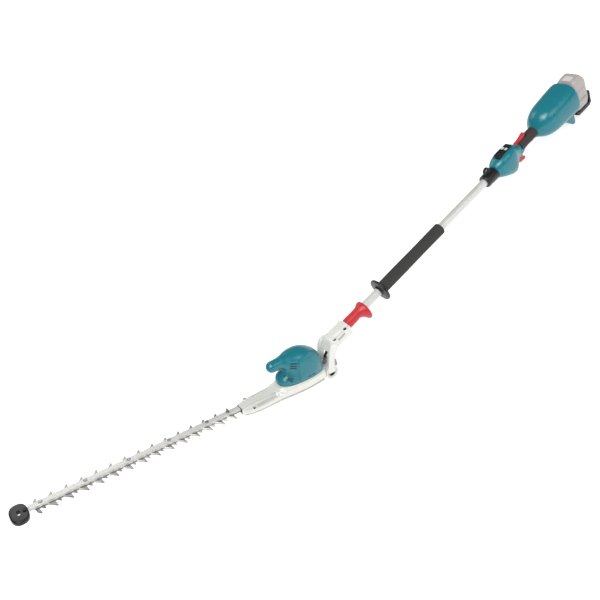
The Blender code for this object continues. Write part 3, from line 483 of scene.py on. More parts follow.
def makeHeadCover():
    # Each ring is a superellipse in a plane that holds the Y direction: its middle and its in-plane direction
    # follow the walls straight up, then fan round the hinge line, then run straight along the horn to its tip.
    v = coverValues
    walls, fan = np.array(v["walls"]), np.array(v["fan"])
    hingeX, hingeZ = v["hinge"]
    third = v["rings"] // 5
    height = np.linspace(walls[0, 0], walls[-1, 0], 2 * third)
    level = curveThrough(walls[:, 0], walls[:, 1:], height)
    spine = [np.column_stack([(level[:, 0] + level[:, 1]) / 2, height, np.ones(len(height)), np.zeros(len(height)),
                              (level[:, 1] - level[:, 0]) / 2, level[:, 2], level[:, 3]])]
    angle = np.linspace(0, 90, 2 * third + 1)[1:]
    bent = curveThrough(fan[:, 0], fan[:, 1:], angle)
    a = np.radians(180 - angle)
    middle = (bent[:, 0] + bent[:, 1]) / 2
    spine.append(np.column_stack([hingeX + middle * np.cos(a), hingeZ + middle * np.sin(a), -np.cos(a), -np.sin(a),
                                  (bent[:, 1] - bent[:, 0]) / 2, bent[:, 2], bent[:, 3]]))
    last = spine[-1][-1]
    straight = np.linspace(0, 1, third)[1:]
    closing = np.linspace(0, 0.985, third) * math.pi / 2
    x = np.concatenate([hingeX + (v["hornEnd"] - hingeX) * straight, v["hornEnd"] + last[4] * np.sin(closing)])
    shrink = np.concatenate([1 - 0.035 * straight, 0.965 * np.cos(closing)])
    one = np.ones(len(x))
    spine.append(np.column_stack([x, last[1] * one - 0.8 * np.minimum(x - hingeX, 20) / 20, 0 * one, -one,
                                  last[4] * shrink, last[5] * shrink, last[6] * one]))
    spine = np.vstack(spine)
    angles = np.linspace(0, 2 * math.pi, v["columns"], endpoint=False)[None, :]
    u, y = superOval(angles, spine[:, 4:5], spine[:, 5:6], spine[:, 6:7])
    x = spine[:, 0:1] + u * spine[:, 2:3]
    z = spine[:, 1:2] + u * spine[:, 3:4]
    sink = np.zeros_like(x)
    for ventX, ventZ, halfLength, halfWidth, turn in v["vents"]:
        sink = np.maximum(sink, slotMask(x, z, (ventX, ventZ), halfLength, halfWidth, turn, 0.5) * (np.abs(y) > 12))
    recess = slotMask(x, z, v["recess"][:2], *v["recess"][2:4], v["recess"][4], 1.0) * (np.abs(y) > 12)
    side = smoothStep(np.abs(y), 8.0, 20.0)
    panel = boxMask(x, z, v["panel"][0], v["panel"][1], 0.9) * side
    channel = boxMask(x, z, v["channel"][0], v["channel"][1], 2.4) * side * (1 - panel)
    lip = np.exp(-(((z - v["lip"]) / 0.7) ** 2)) * (spine[:, 1:2] < 40)
    y = y * (1 - 0.05 * sink - 0.06 * recess - 0.018 * lip + 0.03 * panel - 0.1 * channel)
    # painted shade: the colour darkens in the vents, the front recess and the line above the rim, and a little in the
    # hollow
    shade = np.clip(0.9 * sink + 0.7 * recess + 0.6 * lip + 0.12 * channel, 0, 1)
    ringPiece("headCover", inHead(np.stack([x, y, z], axis=-1)), "head", "teal_abs", ("head_cover",),
              {"shade": shade}, sharp=60)


makeHeadCover()
print("head cover done")

# gear case

caseValues = {
    "rings": 300,
    "columns": 200,
    "low": -9.0,
    # station, half width, half width of its crown, crown height, shoulder height
    "stations": ((24.0, 30.0, 26.0, 20.5, 16.0), (60.0, 35.0, 31.0, 20.7, 15.0), (90.0, 37.0, 33.0, 20.7, 14.0),
                 (128.0, 35.5, 31.5, 20.7, 12.0), (158.0, 32.5, 26.0, 20.7, 9.0), (170.0, 31.0, 18.0, 19.0, 6.0),
                 (185.0, 31.0, 14.0, 16.6, 4.0), (215.0, 31.0, 11.5, 13.5, 2.5), (250.0, 30.0, 9.5, 11.0, 1.5),
                 (272.0, 26.0, 8.8, 9.8, 1.0), (284.0, 21.5, 8.4, 9.2, 0.8), (290.0, 19.5, 8.0, 8.8, 0.6)),
    "screws": ((260.0, 25.0), (260.0, -25.0), (171.0, 26.5), (171.0, -26.5)),
    "pocket": ((184.0, 246.0), (15.5, 26.0)),  # the shallow web beside the crown, along X and across
}


def makeGearCase():
    # Rows along the blade; each row walks up one flank, over the shoulder and crown, down the other and back
    # along the flat underside, and a moving average rounds its corners.
    v = caseValues
    stations = np.array(v["stations"])
    x = np.linspace(stations[0, 0], stations[-1, 0], v["rings"])
    width, crown, top, shoulder = curveThrough(stations[:, 0], stations[:, 1:], x).T
    low = np.full_like(x, v["low"])
    # corners as (y, z) from the underside's middle, round to the left flank, over and back
    bend = (crown + (width - crown) * 0.35, shoulder + (top - shoulder) * 0.45)
    corners = [(0 * x, low), (width, low), (width, shoulder), bend, (crown, top), (0 * x, top)]
    corners += [(-y, z) for y, z in corners[-2:0:-1]]
    yCorners = np.stack([c[0] for c in corners] + [corners[0][0]], axis=1)
    zCorners = np.stack([c[1] for c in corners] + [corners[0][1]], axis=1)
    along = np.linspace(0, len(corners), v["columns"], endpoint=False)
    i = along.astype(int)
    t = along - i
    y = yCorners[:, i] * (1 - t) + yCorners[:, i + 1] * t
    z = zCorners[:, i] * (1 - t) + zCorners[:, i + 1] * t
    steps = 6
    y = sum(np.roll(y, k, axis=1) for k in range(-steps, steps + 1)) / (2 * steps + 1)
    z = sum(np.roll(z, k, axis=1) for k in range(-steps, steps + 1)) / (2 * steps + 1)
    xx = np.broadcast_to(x[:, None], y.shape).copy()
    # screw bosses: round pads standing on the flanks, and a shallow web pocket between them
    pad = np.zeros_like(y)
    for padX, padY in v["screws"]:
        pad = np.maximum(pad, 1 - smoothStep(np.hypot(xx - padX, y - padY), 5.0, 7.0))
    pocket = boxMask(xx, np.abs(y), *v["pocket"], 1.5) * (z > 0)
    z = z + np.where(z > -4, 1.0, 0.0) * (pad * np.clip(3.0 - 0.35 * (z - shoulder[:, None]), 0, 3) - 1.4 * pocket)
    edge = np.clip((xx - 284) / 6, 0, 1) ** 2
    y = y * (1 - 0.05 * edge)
    # painted shade: a dark line along the crease beside the crown, and the web pockets a little darker
    crease = np.exp(-(((np.abs(y) - crown[:, None] - 2.2) / 1.1) ** 2)) * smoothStep(xx, 168.0, 178.0) * (z > 2)
    shade = np.clip(0.2 * pocket + 0.3 * crease, 0, 1)
    ringPiece("gearCase", inHead(np.stack([xx, y, z], axis=-1)), "head", "cast_aluminium", ("gear_case",),
              {"shade": shade}, sharp=50)


def makeCaseNeck():
    # the lug that the pivot bolt passes through, and the neck that joins it to the case
    def place(u, w, along):
        return inHead(np.stack([u, along, w], axis=-1))

    half, outer, inner = 17.4, 20.3, 8.3
    profile = [(inner, -half), (outer - 1.5, -half), (outer - 0.4, -half + 0.5), (outer, -half + 1.6),
               (outer, half - 1.6), (outer - 0.4, half - 0.5), (outer - 1.5, half), (inner, half)]
    turnedPiece("caseLug", profile, place, "head", "cast_aluminium", sharp=40)
    corners = [(9.0, -17.6), (25.4, -12.0), (25.4, -8.4), (32.0, -8.4), (32.0, 18.6), (3.0, 19.2), (6.0, 0.0)]
    outline = roundCorners(corners, 120, 1.6)
    layers = [(outline, -17.0), (outline, 17.0)]
    sheetPiece("caseNeck", layers, [], lambda p: inHead(p[:, [0, 2, 1]]), "head", "cast_aluminium", sharp=40)


def makeCaseScrews():
    # small cap screws down the two flanks, and the frame of the slot that the blades leave by
    for number, (x, y) in enumerate(caseValues["screws"], 1):
        profile = [(0.001, 2.0), (3.0, 2.0), (3.4, 2.4), (3.4, 5.4), (3.0, 5.8), (1.8, 5.8), (1.6, 4.4), (0.001, 4.4)]

        def onPad(u, v, along, x=x, y=y):
            return inHead(np.stack([x + u, y + v, along], axis=-1))

        turnedPiece(f"caseScrew{number}", profile, onPad, "head", "dark_steel", count=32, looped=False)
    outline = roundCorners([(12.2, -8.0), (12.2, 7.6), (-12.2, 7.6), (-12.2, -8.0)], 80, 1.0)
    hole = roundCorners([(9.8, -3.2), (9.8, 5.3), (-9.8, 5.3), (-9.8, -3.2)], 80, 0.4)
    sheetPiece("noseFrame", [(outline, 289.6), (outline, 290.8)], [hole], lambda p: inHead(p[:, [2, 0, 1]]), "head",
               "black_nylon")


makeGearCase()
makeCaseNeck()
makeCaseScrews()
print("gear case done")

# housing

housingValues = {
    "rings": 420,
    "columns": 176,
    # distance behind the pivot, half width, height over the pole axis, depth under it, fullness
    "stations": ((795.0, 20.0, 24.0, 21.0, 2.2), (805.0, 25.5, 30.0, 27.0, 2.4), (822.0, 30.0, 36.0, 37.0, 2.6),
                 (842.0, 31.5, 39.0, 48.0, 2.7), (858.0, 31.0, 39.5, 55.0, 2.7), (868.0, 29.5, 39.0, 56.5, 2.7),
                 (877.0, 26.5, 38.0, 52.0, 2.6), (885.0, 22.5, 35.0, 43.0, 2.4), (893.0, 19.0, 30.0, 38.5, 2.2),
                 (905.0, 15.0, 20.0, 36.5, 2.1), (915.0, 14.5, 16.0, 34.0, 2.1), (924.0, 14.5, 16.0, 29.5, 2.0),
                 (932.0, 14.5, 16.0, 22.5, 2.0), (941.0, 14.5, 16.0, 19.0, 2.0), (970.0, 14.5, 16.0, 19.5, 2.0),
                 (992.0, 16.0, 16.5, 21.0, 2.0), (997.0, 22.0, 22.0, 23.0, 2.0), (1005.0, 32.0, 33.0, 28.0, 2.1),
                 (1016.0, 40.0, 43.0, 35.0, 2.2), (1031.0, 46.0, 50.5, 40.5, 2.3), (1052.0, 50.5, 54.5, 43.5, 2.4),
                 (1085.0, 52.5, 57.0, 44.5, 2.5), (1120.0, 53.9, 60.0, 45.0, 2.5), (1146.0, 53.9, 61.5, 47.5, 2.5),
                 (1154.0, 53.6, 61.2, 48.4, 2.5), (1158.0, 52.2, 59.6, 47.6, 2.5)),
    "leverSlot": ((-955.0, -898.0), 5.9),
    "triggerSlot": ((-923.0, -881.0), 7.1),
    "panelSlot": ((-880.4, -817.6), 12.3),
    # the foot's outline as (x, height about the pole axis)
    "foot": ((-1096.0, -34.0), (-1112.0, -48.0), (-1144.0, -83.0), (-1148.0, -86.0), (-1157.8, -86.0),
             (-1157.8, -34.0)),
    "footLayers": ((1.6, -25.0), (0.5, -24.4), (0.0, -23.0), (0.0, 23.0), (0.5, 24.4), (1.6, 25.0)),  # inset, y
}


def makeHousing():
    # Rows along the pole; a row is a superellipse whose upper and lower halves have their own heights. The slots
    # for the lever, trigger and panel are pushed in, and painted shade darkens them where they are deep.
    v = housingValues
    stations = np.array(v["stations"])
    back = np.linspace(stations[0, 0], stations[-1, 0], v["rings"])
    width, top, depth, fullness = curveThrough(stations[:, 0], stations[:, 1:], back).T[:, :, None]
    even = np.linspace(0, 2 * math.pi, v["columns"], endpoint=False)[None, :]
    angles = even + 0.32 * np.sin(2 * even)  # rows crowd towards the seam, where the slots are
    y, z = superOval(angles, width, 1.0, fullness)
    z = z * np.where(z > 0, top, depth)
    x = np.broadcast_to(-back[:, None], y.shape).copy()
    upper, lower = z > 0, z < 0
    lever = boxMask(x, np.abs(y), v["leverSlot"][0], (-1.0, v["leverSlot"][1]), 0.6) * upper
    trigger = boxMask(x, np.abs(y), v["triggerSlot"][0], (-1.0, v["triggerSlot"][1]), 0.6) * lower
    panel = boxMask(x, np.abs(y), v["panelSlot"][0], (-1.0, v["panelSlot"][1]), 0.7) * upper
    z = z - 9.0 * lever * (z > 12) - 2.6 * panel + 8.0 * trigger
    shade = np.clip(0.95 * lever + 0.95 * trigger + 0.6 * panel, 0, 1)
    ringPiece("rearHousing", inTool(np.stack([x, y, poleHigh + z], axis=-1)), "tool", "teal_abs",
              ("housing_left", "housing_right"), {"shade": shade}, sharp=60)
    foot = roundCorners(v["foot"], 120, 1.2)
    layers = [(insetOutline(foot, inset), across) for inset, across in v["footLayers"]]
    sheetPiece("rearFoot", layers, [], lambda p: aroundPole(p[:, 2], p[:, 1], p[:, 0]), "tool", "teal_abs", sharp=40)


makeHousing()
print("housing done")

# handle rubber

rubberValues = {
    "from": -914.0, "to": -991.0, "wide": 15.7, "high": 17.2, "deep": 19.8, "thick": 3.2,
    "ribs": (-982.0, -925.0), "ribPitch": 4.0,
    "ribArcs": ((-0.3, 1.15), (2.0, 3.5)),  # the angles that ribs cover on each side, in radians
    "leverSlot": ((-955.0, -880.0), 5.9),
}


def makeHandleRubber():
    # A thick C carried along the handle: the section runs round the outside and back along the inside, its two
    # lips rounded, with shallow ribs across the top where the palm rests.
    v = rubberValues
    rows, half = 160, 90
    x = np.linspace(v["from"], v["to"], rows)[:, None]
    t = np.concatenate([np.linspace(0, 1, half), np.linspace(1, 0, half)])[None, :]
    angle = np.radians(-9 + 198 * t)
    outside = np.concatenate([np.ones(half), np.zeros(half)])[None, :]
    lip = np.sqrt(np.clip(1 - ((np.abs(t - 0.5) - 0.47) / 0.03).clip(0, 1) ** 2, 0, 1))
    end = np.sqrt(np.clip(1 - ((np.abs(x - (v["from"] + v["to"]) / 2) - 36.0) / 2.5).clip(0, 1) ** 2, 0, 1))
    swell = 0.8 * smoothStep(x, -935.0, v["from"]) + 0.6 * smoothStep(-x, 975.0, -v["to"])
    wave = 0.35 * np.maximum(np.sin(2 * math.pi * x / v["ribPitch"]), -0.4)
    ribs = sum(wave * boxMask(x, angle, v["ribs"], arc, 0.1) for arc in v["ribArcs"])
    lift = outside * ((v["thick"] - 1.0) * lip * end + 1.0 * end + ribs) + (1 - outside) * 0.15
    y = (v["wide"] + swell + lift) * np.cos(angle)
    z = (np.where(np.sin(angle) > 0, v["high"], v["deep"]) + swell + lift) * np.sin(angle)
    slot = boxMask(x + 0 * y, np.abs(y), v["leverSlot"][0], (-1.0, v["leverSlot"][1]), 0.5) * (z > 0)
    z = z - slot * outside * 4.0
    xx = np.broadcast_to(x, y.shape)
    points = inTool(np.stack([xx, y, poleHigh + z], axis=-1))
    # painted shade darkens the lever slot
    ringPiece("handleRubber", points, "tool", "grip_rubber", ("handle_rubber",), {"shade": np.clip(0.8 * slot, 0, 1)},
              sharp=50)


makeHandleRubber()
print("handle done")

# pole line

gripValues = {"radius": 18.5, "bore": 12.8, "endRound": 3.5}


def makeFoamGrip():
    v = gripValues
    low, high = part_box("foam_grip")
    front, rear = ((end - pivot[0]) / mm for end in (high.x, low.x))
    a = np.linspace(0, math.pi / 2, 10)
    r = v["endRound"]
    frontRound = np.column_stack([v["radius"] - r + r * np.sin(a), front - r + r * np.cos(a)])
    rearRound = np.column_stack([v["radius"] - r + r * np.cos(a), rear + r - r * np.sin(a)])
    along = np.linspace(front - r - 1, rear + r + 1, 120)
    body = np.column_stack([v["radius"] - 0.25 + 0.25 * np.sin(along / 31.0), along])
    profile = np.vstack([[(v["bore"], front)], frontRound, body, rearRound, [(v["bore"], rear)]])
    grip = turnedPiece("foamGrip", profile, aroundPole, "tool", "foam", ("foam_grip",), sharp=50)


guardValues = {
    # rows of (radius, along) for the neck on either side of the disc
    "front": ((12.8, -258.0), (15.6, -258.0), (16.5, -258.9), (17.2, -261.0), (19.5, -262.8), (30.0, -263.2)),
    "rear": ((30.0, -270.8), (22.0, -271.3), (20.2, -272.6), (20.0, -275.2), (19.2, -276.0), (12.8, -276.0)),
    "rim": (33.5, -267.0, 3.0, 3.6),  # its middle's radius and place, its half depth and half width
}


def makeGripGuard():
    # a disc with a rolled rim that stops the hand, with a neck either side
    radius, middle, halfDeep, halfWide = guardValues["rim"]
    a = np.linspace(-math.pi / 2, math.pi / 2, 12)
    rim = np.column_stack([radius + halfDeep * np.cos(a), middle - halfWide * np.sin(a)])
    profile = np.vstack([guardValues["front"], rim, guardValues["rear"]])
    turnedPiece("gripGuard", profile, aroundPole, "tool", "black_nylon", ("grip_guard",), sharp=40)


sleeveValues = {
    "front": -120.5, "rear": -196.0, "bore": 12.8,
    # station, half width, top, bottom, about the pole axis
    "stations": ((120.5, 14.6, 14.6, -14.6), (122.0, 15.8, 15.8, -15.8), (124.0, 16.0, 16.0, -16.0),
                 (150.0, 16.0, 16.0, -16.0), (168.0, 16.2, 16.0, -16.4), (176.0, 19.0, 16.4, -23.0),
                 (182.0, 23.5, 17.4, -31.0), (187.0, 28.0, 18.6, -39.0), (190.0, 29.0, 19.0, -41.0),
                 (193.5, 28.8, 18.9, -40.8), (196.0, 27.4, 18.2, -39.2)),
    "grooves": (128.0, 160.0), "groovePitch": 5.0,
}


def makeReleaseSleeve():
    # Rows back along the pole: round at the front, then swelling into a thumb flange that hangs low.
    v = sleeveValues
    stations = np.array(v["stations"])
    back = np.linspace(stations[0, 0], stations[-1, 0], 150)
    half, top, low = curveThrough(stations[:, 0], stations[:, 1:], back).T[:, :, None]
    angles = np.linspace(0, 2 * math.pi, 96, endpoint=False)[None, :]
    y, z = superOval(angles, half, 1.0, 2.05)
    z = (top + low) / 2 + z * (top - low) / 2
    wave = np.clip(np.sin(2 * math.pi * (back[:, None] - v["grooves"][0]) / v["groovePitch"]), 0, 1)
    grooves = 0.45 * wave * boxMask(back[:, None] + 0 * z, z, v["grooves"], (-30.0, 30.0), 0.5)
    shrink = 1 - grooves / np.maximum(np.hypot(y, z), 1)
    x = np.broadcast_to(-back[:, None], y.shape)
    outer = np.stack([x, y * shrink, poleHigh + z * shrink], axis=-1)
    boreY, boreZ = v["bore"] * np.cos(angles[0]), poleHigh + v["bore"] * np.sin(angles[0])
    bore = np.stack([np.stack([np.full(96, end), boreY, boreZ], axis=-1) for end in (v["rear"], v["front"])])
    ringPiece("releaseSleeve", inTool(np.concatenate([outer, bore])), "sleeve", "red_nylon", ("release_sleeve",),
              looped=True, sharp=40)


makeFoamGrip()
makeGripGuard()
makeReleaseSleeve()
print("pole line done")

# arm

armValues = {
    "front": -48.0, "rear": -119.0, "bore": 12.8,
    # the clamp's upper half as (y, z) over the pole axis, from the near flange over the dome to the far one
    "section": ((27.0, 0.2), (27.0, 10.5), (25.5, 13.5), (15.5, 14.0), (11.0, 16.5), (5.0, 18.4), (-3.0, 19.0),
                (-9.0, 17.2), (-14.0, 13.2), (-17.5, 8.6), (-25.5, 7.5), (-27.0, 6.0), (-27.0, 0.2)),
    "bolts": (-60.5, -103.5),
    "hollow": ((-95.0, -69.0), (2.5, 9.5)),  # in the near flange between the bolts, along X and in height
    # the eye's profile as (radius, y), with the ring standing in its face
    "eye": ((8.3, 18.0), (19.6, 18.0), (20.6, 18.5), (20.9, 19.6), (20.9, 28.4), (20.5, 29.4), (19.4, 29.9),
            (17.4, 29.9), (17.1, 29.6), (17.1, 27.6), (15.2, 27.6), (15.2, 29.6), (14.9, 29.9), (13.2, 29.9),
            (12.5, 29.2), (12.5, 24.0), (8.3, 24.0)),
    # the cheeks' middle line as (x, z) over the pivot, and their depth across it
    "cheek": ((-56.0, 66.5, 9.0), (-50.0, 66.0, 12.0), (-40.0, 61.0, 13.5), (-28.0, 49.0, 11.5), (-17.0, 33.0, 10.3),
              (-9.0, 18.0, 11.0), (-3.0, 6.0, 12.5), (0.0, 0.0, 13.0)),
    # the web's middle line and half thickness
    "web": ((-64.0, 77.5, 5.0), (-52.0, 77.0, 5.0), (-44.0, 73.5, 4.5), (-36.5, 66.0, 4.0), (-29.5, 56.5, 3.6),
            (-27.5, 53.4, 2.4)),
}


def sweptBeam(name, line, halfY, middleY, fullness, dish=0.0, rows=90, columns=64, ends=0.0):
    # a rounded bar along a line in the XZ plane, its depth across the line given at each knot
    knots = np.array(line)
    walked = np.concatenate([[0], np.cumsum(np.hypot(*np.diff(knots[:, :2], axis=0).T))])
    at = np.linspace(0, walked[-1], rows)
    path = curveThrough(walked, knots, at)
    heading = np.gradient(path[:, :2], at, axis=0)
    heading /= np.linalg.norm(heading, axis=1, keepdims=True)
    angles = np.linspace(0, 2 * math.pi, columns, endpoint=False)[None, :]
    near = np.minimum(at, walked[-1] - at)[:, None]
    close = np.sqrt(np.clip(1 - (1 - np.clip(near / ends, 0, 1)) ** 2, 0.05, 1)) if ends else 1.0
    u, y = superOval(angles, path[:, 2:3] * close, halfY, fullness)
    u = u - dish * (1 - (y / halfY) ** 2)
    x = path[:, 0:1] - u * heading[:, 1:2]
    z = path[:, 1:2] + u * heading[:, 0:1]
    x, y, z = np.broadcast_arrays(x, middleY + y, z)
    ringPiece(name, inTool(np.stack([x, y, z], axis=-1)), "tool", "cast_aluminium", sharp=50)


def makeArm():
    # The clamp is its section carried along the pole, with a boss at each bolt and a hollow between them; the
    # cheeks and the web are bars swept down to the pivot; the eyes are turned.
    v = armValues
    arc = np.radians(np.linspace(180, 0, 30))
    bore = np.column_stack([v["bore"] * np.cos(arc), np.maximum(v["bore"] * np.sin(arc), 0.2)])
    section = roundCorners(np.vstack([v["section"], bore]), 260, 1.1)
    x = np.linspace(v["front"], v["rear"], 110)[:, None]
    y, z = section[None, :, 0] + 0 * x, section[None, :, 1] + 0 * x
    outside = smoothStep(np.hypot(y, z), 14.0, 16.5)
    bosses = sum(1 - smoothStep(np.hypot(x - boltX, y - 20.5), 6.0, 8.5) for boltX in v["bolts"])
    hollow = boxMask(x + 0 * y, z, *v["hollow"], 1.5) * (y > 20)
    near = np.minimum(v["front"] - x, x - v["rear"])
    soften = 1.2 * (1 - np.sqrt(np.clip(1 - (1 - np.clip(near / 1.2, 0, 1)) ** 2, 0, 1)))
    grow = outside * (0.9 * np.clip(bosses, 0, 1) * (z > 6) - soften)
    y = y * (1 + grow / 30.0) - 4.0 * hollow
    z = np.where(z > 1, z * (1 + grow / 18.0), z)
    seats = sum(1 - smoothStep(np.hypot(x - boltX, y - 20.5), 4.2, 5.0) for boltX in v["bolts"]) * (z > 9)
    z = z - 2.6 * seats
    # painted shade darkens the hollow between the bolts and turns the sunken bolt seats nearly black
    shade = np.clip(0.45 * hollow + seats, 0, 1)
    points = inTool(np.stack([np.broadcast_to(x, y.shape), y, poleHigh + z], axis=-1))
    ringPiece("armClamp", points, "tool", "cast_aluminium", ("arm_bracket",), {"shade": shade}, sharp=40)
    for side, label in ((1, "Near"), (-1, "Far")):
        sweptBeam("armCheek" + label, v["cheek"], 6.0, 24.0 * side, 4.5)
        turnedPiece("armEye" + label, np.array(v["eye"]) * (1, side), aroundHinge, "tool", "cast_aluminium", sharp=40)
    sweptBeam("armWeb", v["web"], 19.5, 0.0, 7.0, dish=1.6, ends=3.0)


def makePivotBolt():
    # a shouldered bolt with a deep round socket in its head
    profile = [(0.001, -28.5), (7.4, -28.5), (8.0, -27.8), (8.0, 24.3), (11.2, 24.3), (11.8, 24.9), (11.8, 28.0),
               (11.2, 28.6), (9.8, 28.6), (9.3, 28.2), (9.3, 25.4), (0.001, 25.2)]
    bolt = turnedPiece("pivotBolt", profile, aroundHinge, "tool", "gear_steel", ("pivot_bolt",), looped=False,
                       sharp=30)
    mesh = bolt.data
    places = np.zeros(len(mesh.vertices) * 3)
    mesh.vertices.foreach_get("co", places)
    local = (places.reshape(-1, 3) - pivot) / mm
    # painted shade: the socket is darkened nearly to black
    inSocket = (np.hypot(local[:, 0], local[:, 2]) < 9.5) & (local[:, 1] > 20)
    mesh.attributes.new("shade", "FLOAT", "POINT").data.foreach_set("value", inSocket.astype(np.float32))


makeArm()
makePivotBolt()
print("arm done")

# blades

bladeValues = {
    "pitch": 36.0, "firstTooth": 822.0, "teeth": 15, "barHalf": 9.0, "reach": 26.0, "tip": 829.0,
    "bevel": 1.5,  # width of the ground edge
    "faces": (0.2, 0.95, 2.7),  # off the shear plane: the inner face, the ground edge's foot and the outer face
    "screws": (813.0, 709.0, 602.0, 495.0, 388.0, 326.0),
}
railValues = {
    "from": 292.6, "to": 838.4, "half": 7.3, "swell": 1.2, "swellReach": 9.0,
    "layers": ((0.0, 4.85), (0.0, 7.9), (0.35, 8.6), (1.5, 9.4)),  # inset and height
}


def circlePoints(u, v, radius, count=24):
    a = np.linspace(0, 2 * math.pi, count, endpoint=False)
    return np.column_stack([u + radius * np.cos(a), v + radius * np.sin(a)])


def slotPoints(u, v, half, radius, count=20):
    a = np.linspace(-math.pi / 2, math.pi / 2, count // 2)
    right = np.column_stack([u + half - radius + radius * np.cos(a), v + radius * np.sin(a)])
    left = np.column_stack([u - half + radius - radius * np.cos(a), v - radius * np.sin(a)])
    return np.vstack([right, left])


def bladeOutline():
    v = bladeValues
    bar = v["barHalf"]
    # the long teeth lean back to the handle, with a short one between each pair
    tooth = np.array([(15.0, bar), (4.0, 19.0), (-1.4, v["reach"]), (-4.4, v["reach"]), (-3.4, 17.0), (-2.0, bar),
                      (-7.0, bar), (-13.0, 16.5), (-15.6, 16.5), (-15.0, bar)])
    starts = v["firstTooth"] - v["pitch"] * np.arange(v["teeth"])
    teeth = (tooth[None, :, :] + np.stack([starts, 0 * starts], axis=1)[:, None, :]).reshape(-1, 2)[:-4]
    teeth[:2, 0] = np.minimum(teeth[:2, 0], v["tip"] - 1.5)
    tail = [(165.0, bar), (crankX + 27.0, 18.5), (crankX - 27.0, 18.5)]
    edge = np.vstack([[(v["tip"], bar - 3)], teeth, tail])
    return np.vstack([edge, (edge * (1, -1))[::-1]])


def makeBlades():
    # each blade is a full outline at the shear plane, and an inset one on its outer face: the ground edges
    v = bladeValues
    outline = bladeOutline()
    inner = insetOutline(outline, v["bevel"])
    tail = outline[:, 0] < 300
    inner[tail] = insetOutline(outline, 0.3)[tail]
    holes = [np.array([(crankX + a * 23.0, b * 14.2) for a, b in ((1, 1), (-1, 1), (-1, -1), (1, -1))])]
    holes += [slotPoints(x, 0.0, 12.2, 3.1) for x in v["screws"]]
    for name, node, body, side in (("upperBlade", "upper_blade", "upper_shear", 1),
                                   ("lowerBlade", "lower_blade", "lower_shear", -1)):
        near, edge, far = (height * side for height in v["faces"])
        layers = [(outline, near), (outline, edge), (inner, far)]
        sheetPiece(name, layers, holes, inHead, body, "blade_steel", (node,), sharp=20)


def makeGuideBar():
    # a tongue from the gear case to the tip guard, with a rail on it that swells a little at each screw
    v = bladeValues
    low, high = headX("guide_bar", 0), headX("guide_bar", 1)
    tongue = roundCorners([(low, 8.4), (low, -8.4), (high - 4.0, -8.4), (high, -5.4), (high, 5.4), (high - 4.0, 8.4)],
                          160, 0.6)
    ends = [circlePoints(847.5, 0.0, 2.9)] + [circlePoints(screwX, 0.0, 2.9) for screwX in v["screws"]]
    sheetPiece("guideBar", [(tongue, 3.0), (tongue, 4.9)], ends, inHead, "head", "pole_aluminium", ("guide_bar",),
               sharp=20)
    rail = railValues
    x = np.linspace(rail["from"], rail["to"], 700)
    half = np.full_like(x, rail["half"])
    for screwX in v["screws"]:
        half = half + rail["swell"] * np.exp(-(((x - screwX) / rail["swellReach"]) ** 2))
    outline = np.vstack([np.column_stack([x, half]), np.column_stack([x, -half])[::-1]])
    side = np.sign(outline[:, 1:]) * (0, 1)
    layers = [(outline - inset * side, height) for inset, height in rail["layers"]]
    sheetPiece("guideRail", layers, ends[1:], inHead, "head", "pole_aluminium", sharp=20)


makeBlades()
makeGuideBar()
print("blades done")

# tip guard

tipGuardValues = {
    "middle": 860.7, "halfLong": 20.3, "halfWide": 31.0, "low": -5.0, "high": 7.0, "rim": 3.5,
    "slot": (861.5, 5.0, 3.6),  # its place along X, half the distance between its ends, and their radius
}


def makeTipGuard():
    # a flat oval with a rounded rim and a slot to hang it by
    v = tipGuardValues
    angles = np.linspace(0, 2 * math.pi, 160, endpoint=False)
    u, w = superOval(angles, v["halfLong"], v["halfWide"], 2.5)
    outline = np.column_stack([v["middle"] + u, w])
    slotX, apart, radius = v["slot"]
    slot = np.vstack([circlePoints(slotX, apart, radius, 24)[:13], circlePoints(slotX, -apart, radius, 24)[12:]])
    steps = np.linspace(0, math.pi / 2, 7)
    rounded = [(insetOutline(outline, v["rim"] * (1 - math.sin(a))), v["rim"] * (1 - math.cos(a))) for a in steps]
    layers = [(edge, v["low"] + rise) for edge, rise in rounded]
    layers += [(edge, v["high"] - rise) for edge, rise in rounded[::-1]]
    sheetPiece("tipGuard", layers, [slot], inHead, "head", "black_nylon", ("tip_guard",), sharp=30)


makeTipGuard()
print("tip guard done")

# battery

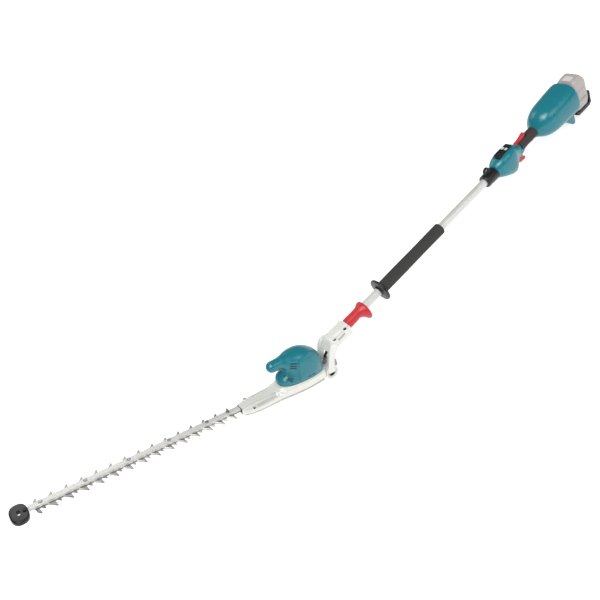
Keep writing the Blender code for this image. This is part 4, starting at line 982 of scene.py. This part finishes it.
batteryValues = {
    # height about the pole axis, half length along the pole, half width, middle
    "stations": ((-48.0, 26.5, 34.5), (-46.0, 28.6, 36.4), (-43.0, 29.4, 37.0), (20.0, 29.4, 37.0),
                 (34.0, 29.2, 36.6), (42.0, 27.4, 34.6), (50.0, 23.5, 30.0), (54.5, 20.6, 26.5), (56.6, 18.4, 24.2),
                 (57.0, 16.8, 22.6)),
    "middle": -1193.05,
    "seam": 18.0,
    "groove": ((0.0, -14.0), 18.0, 4.0),  # on each side: its centre, half length and half width
}


def makeBattery():
    # Rows up the pack: a rounded box whose shoulders draw in at the top, with a seam and two side grooves.
    v = batteryValues
    stations = np.array(v["stations"])
    z = np.linspace(stations[0, 0], stations[-1, 0], 170)
    halfX, halfY = curveThrough(stations[:, 0], stations[:, 1:], z).T[:, :, None]
    angles = np.linspace(0, 2 * math.pi, 160, endpoint=False)[None, :]
    x, y = superOval(angles, halfX, halfY, 6.0)
    zz = np.broadcast_to(z[:, None], x.shape)
    seam = np.exp(-(((zz - v["seam"]) / 0.7) ** 2))
    groove = slotMask(x, zz, *v["groove"], 0.0, 0.6) * (np.abs(y) > 30)
    x, y = x * (1 - 0.022 * seam), y * (1 - 0.018 * seam - 0.04 * groove)
    # painted shade darkens the seam groove and the side grooves
    shade = np.clip(0.6 * seam + 0.25 * groove, 0, 1)
    points = inTool(np.stack([v["middle"] + x, y, poleHigh + zz], axis=-1))
    ringPiece("batteryCase", points, "battery", "battery_grey", ("battery_case",), {"shade": shade}, sharp=50)


makeBattery()
print("battery done")

# machined and moulded pieces that keep their CAD shape, with rounded edges

edgeWidths = {
    "clamp_cap": 1.4, "pivot_nut": 0.6, "index_sector": 0.5,
    "clamp_bolt_1": 0.5, "clamp_bolt_2": 0.5, "clamp_bolt_3": 0.5, "clamp_bolt_4": 0.5,
    "trigger": 1.0, "lock_off_lever": 1.0, "control_panel": 0.7, "power_button": 0.6, "mode_button": 0.6,
    "indicator_lens": 0.3, "battery_cradle": 2.0, "battery_button": 1.2, "strap_collar": 1.0,
    "gear_case_cover": 0.8, "lock_plate": 0.4, "tip_guard_screw": 0.5, "pole_tube": 0.3,
}
for number in range(1, len(bladeValues["screws"]) + 1):
    edgeWidths[f"blade_screw_{number}"] = 0.5
for nodeName, width in edgeWidths.items():
    softenedNode(nodeName, width, finish="gear_steel" if nodeName == "index_sector" else None)
print("edges done")
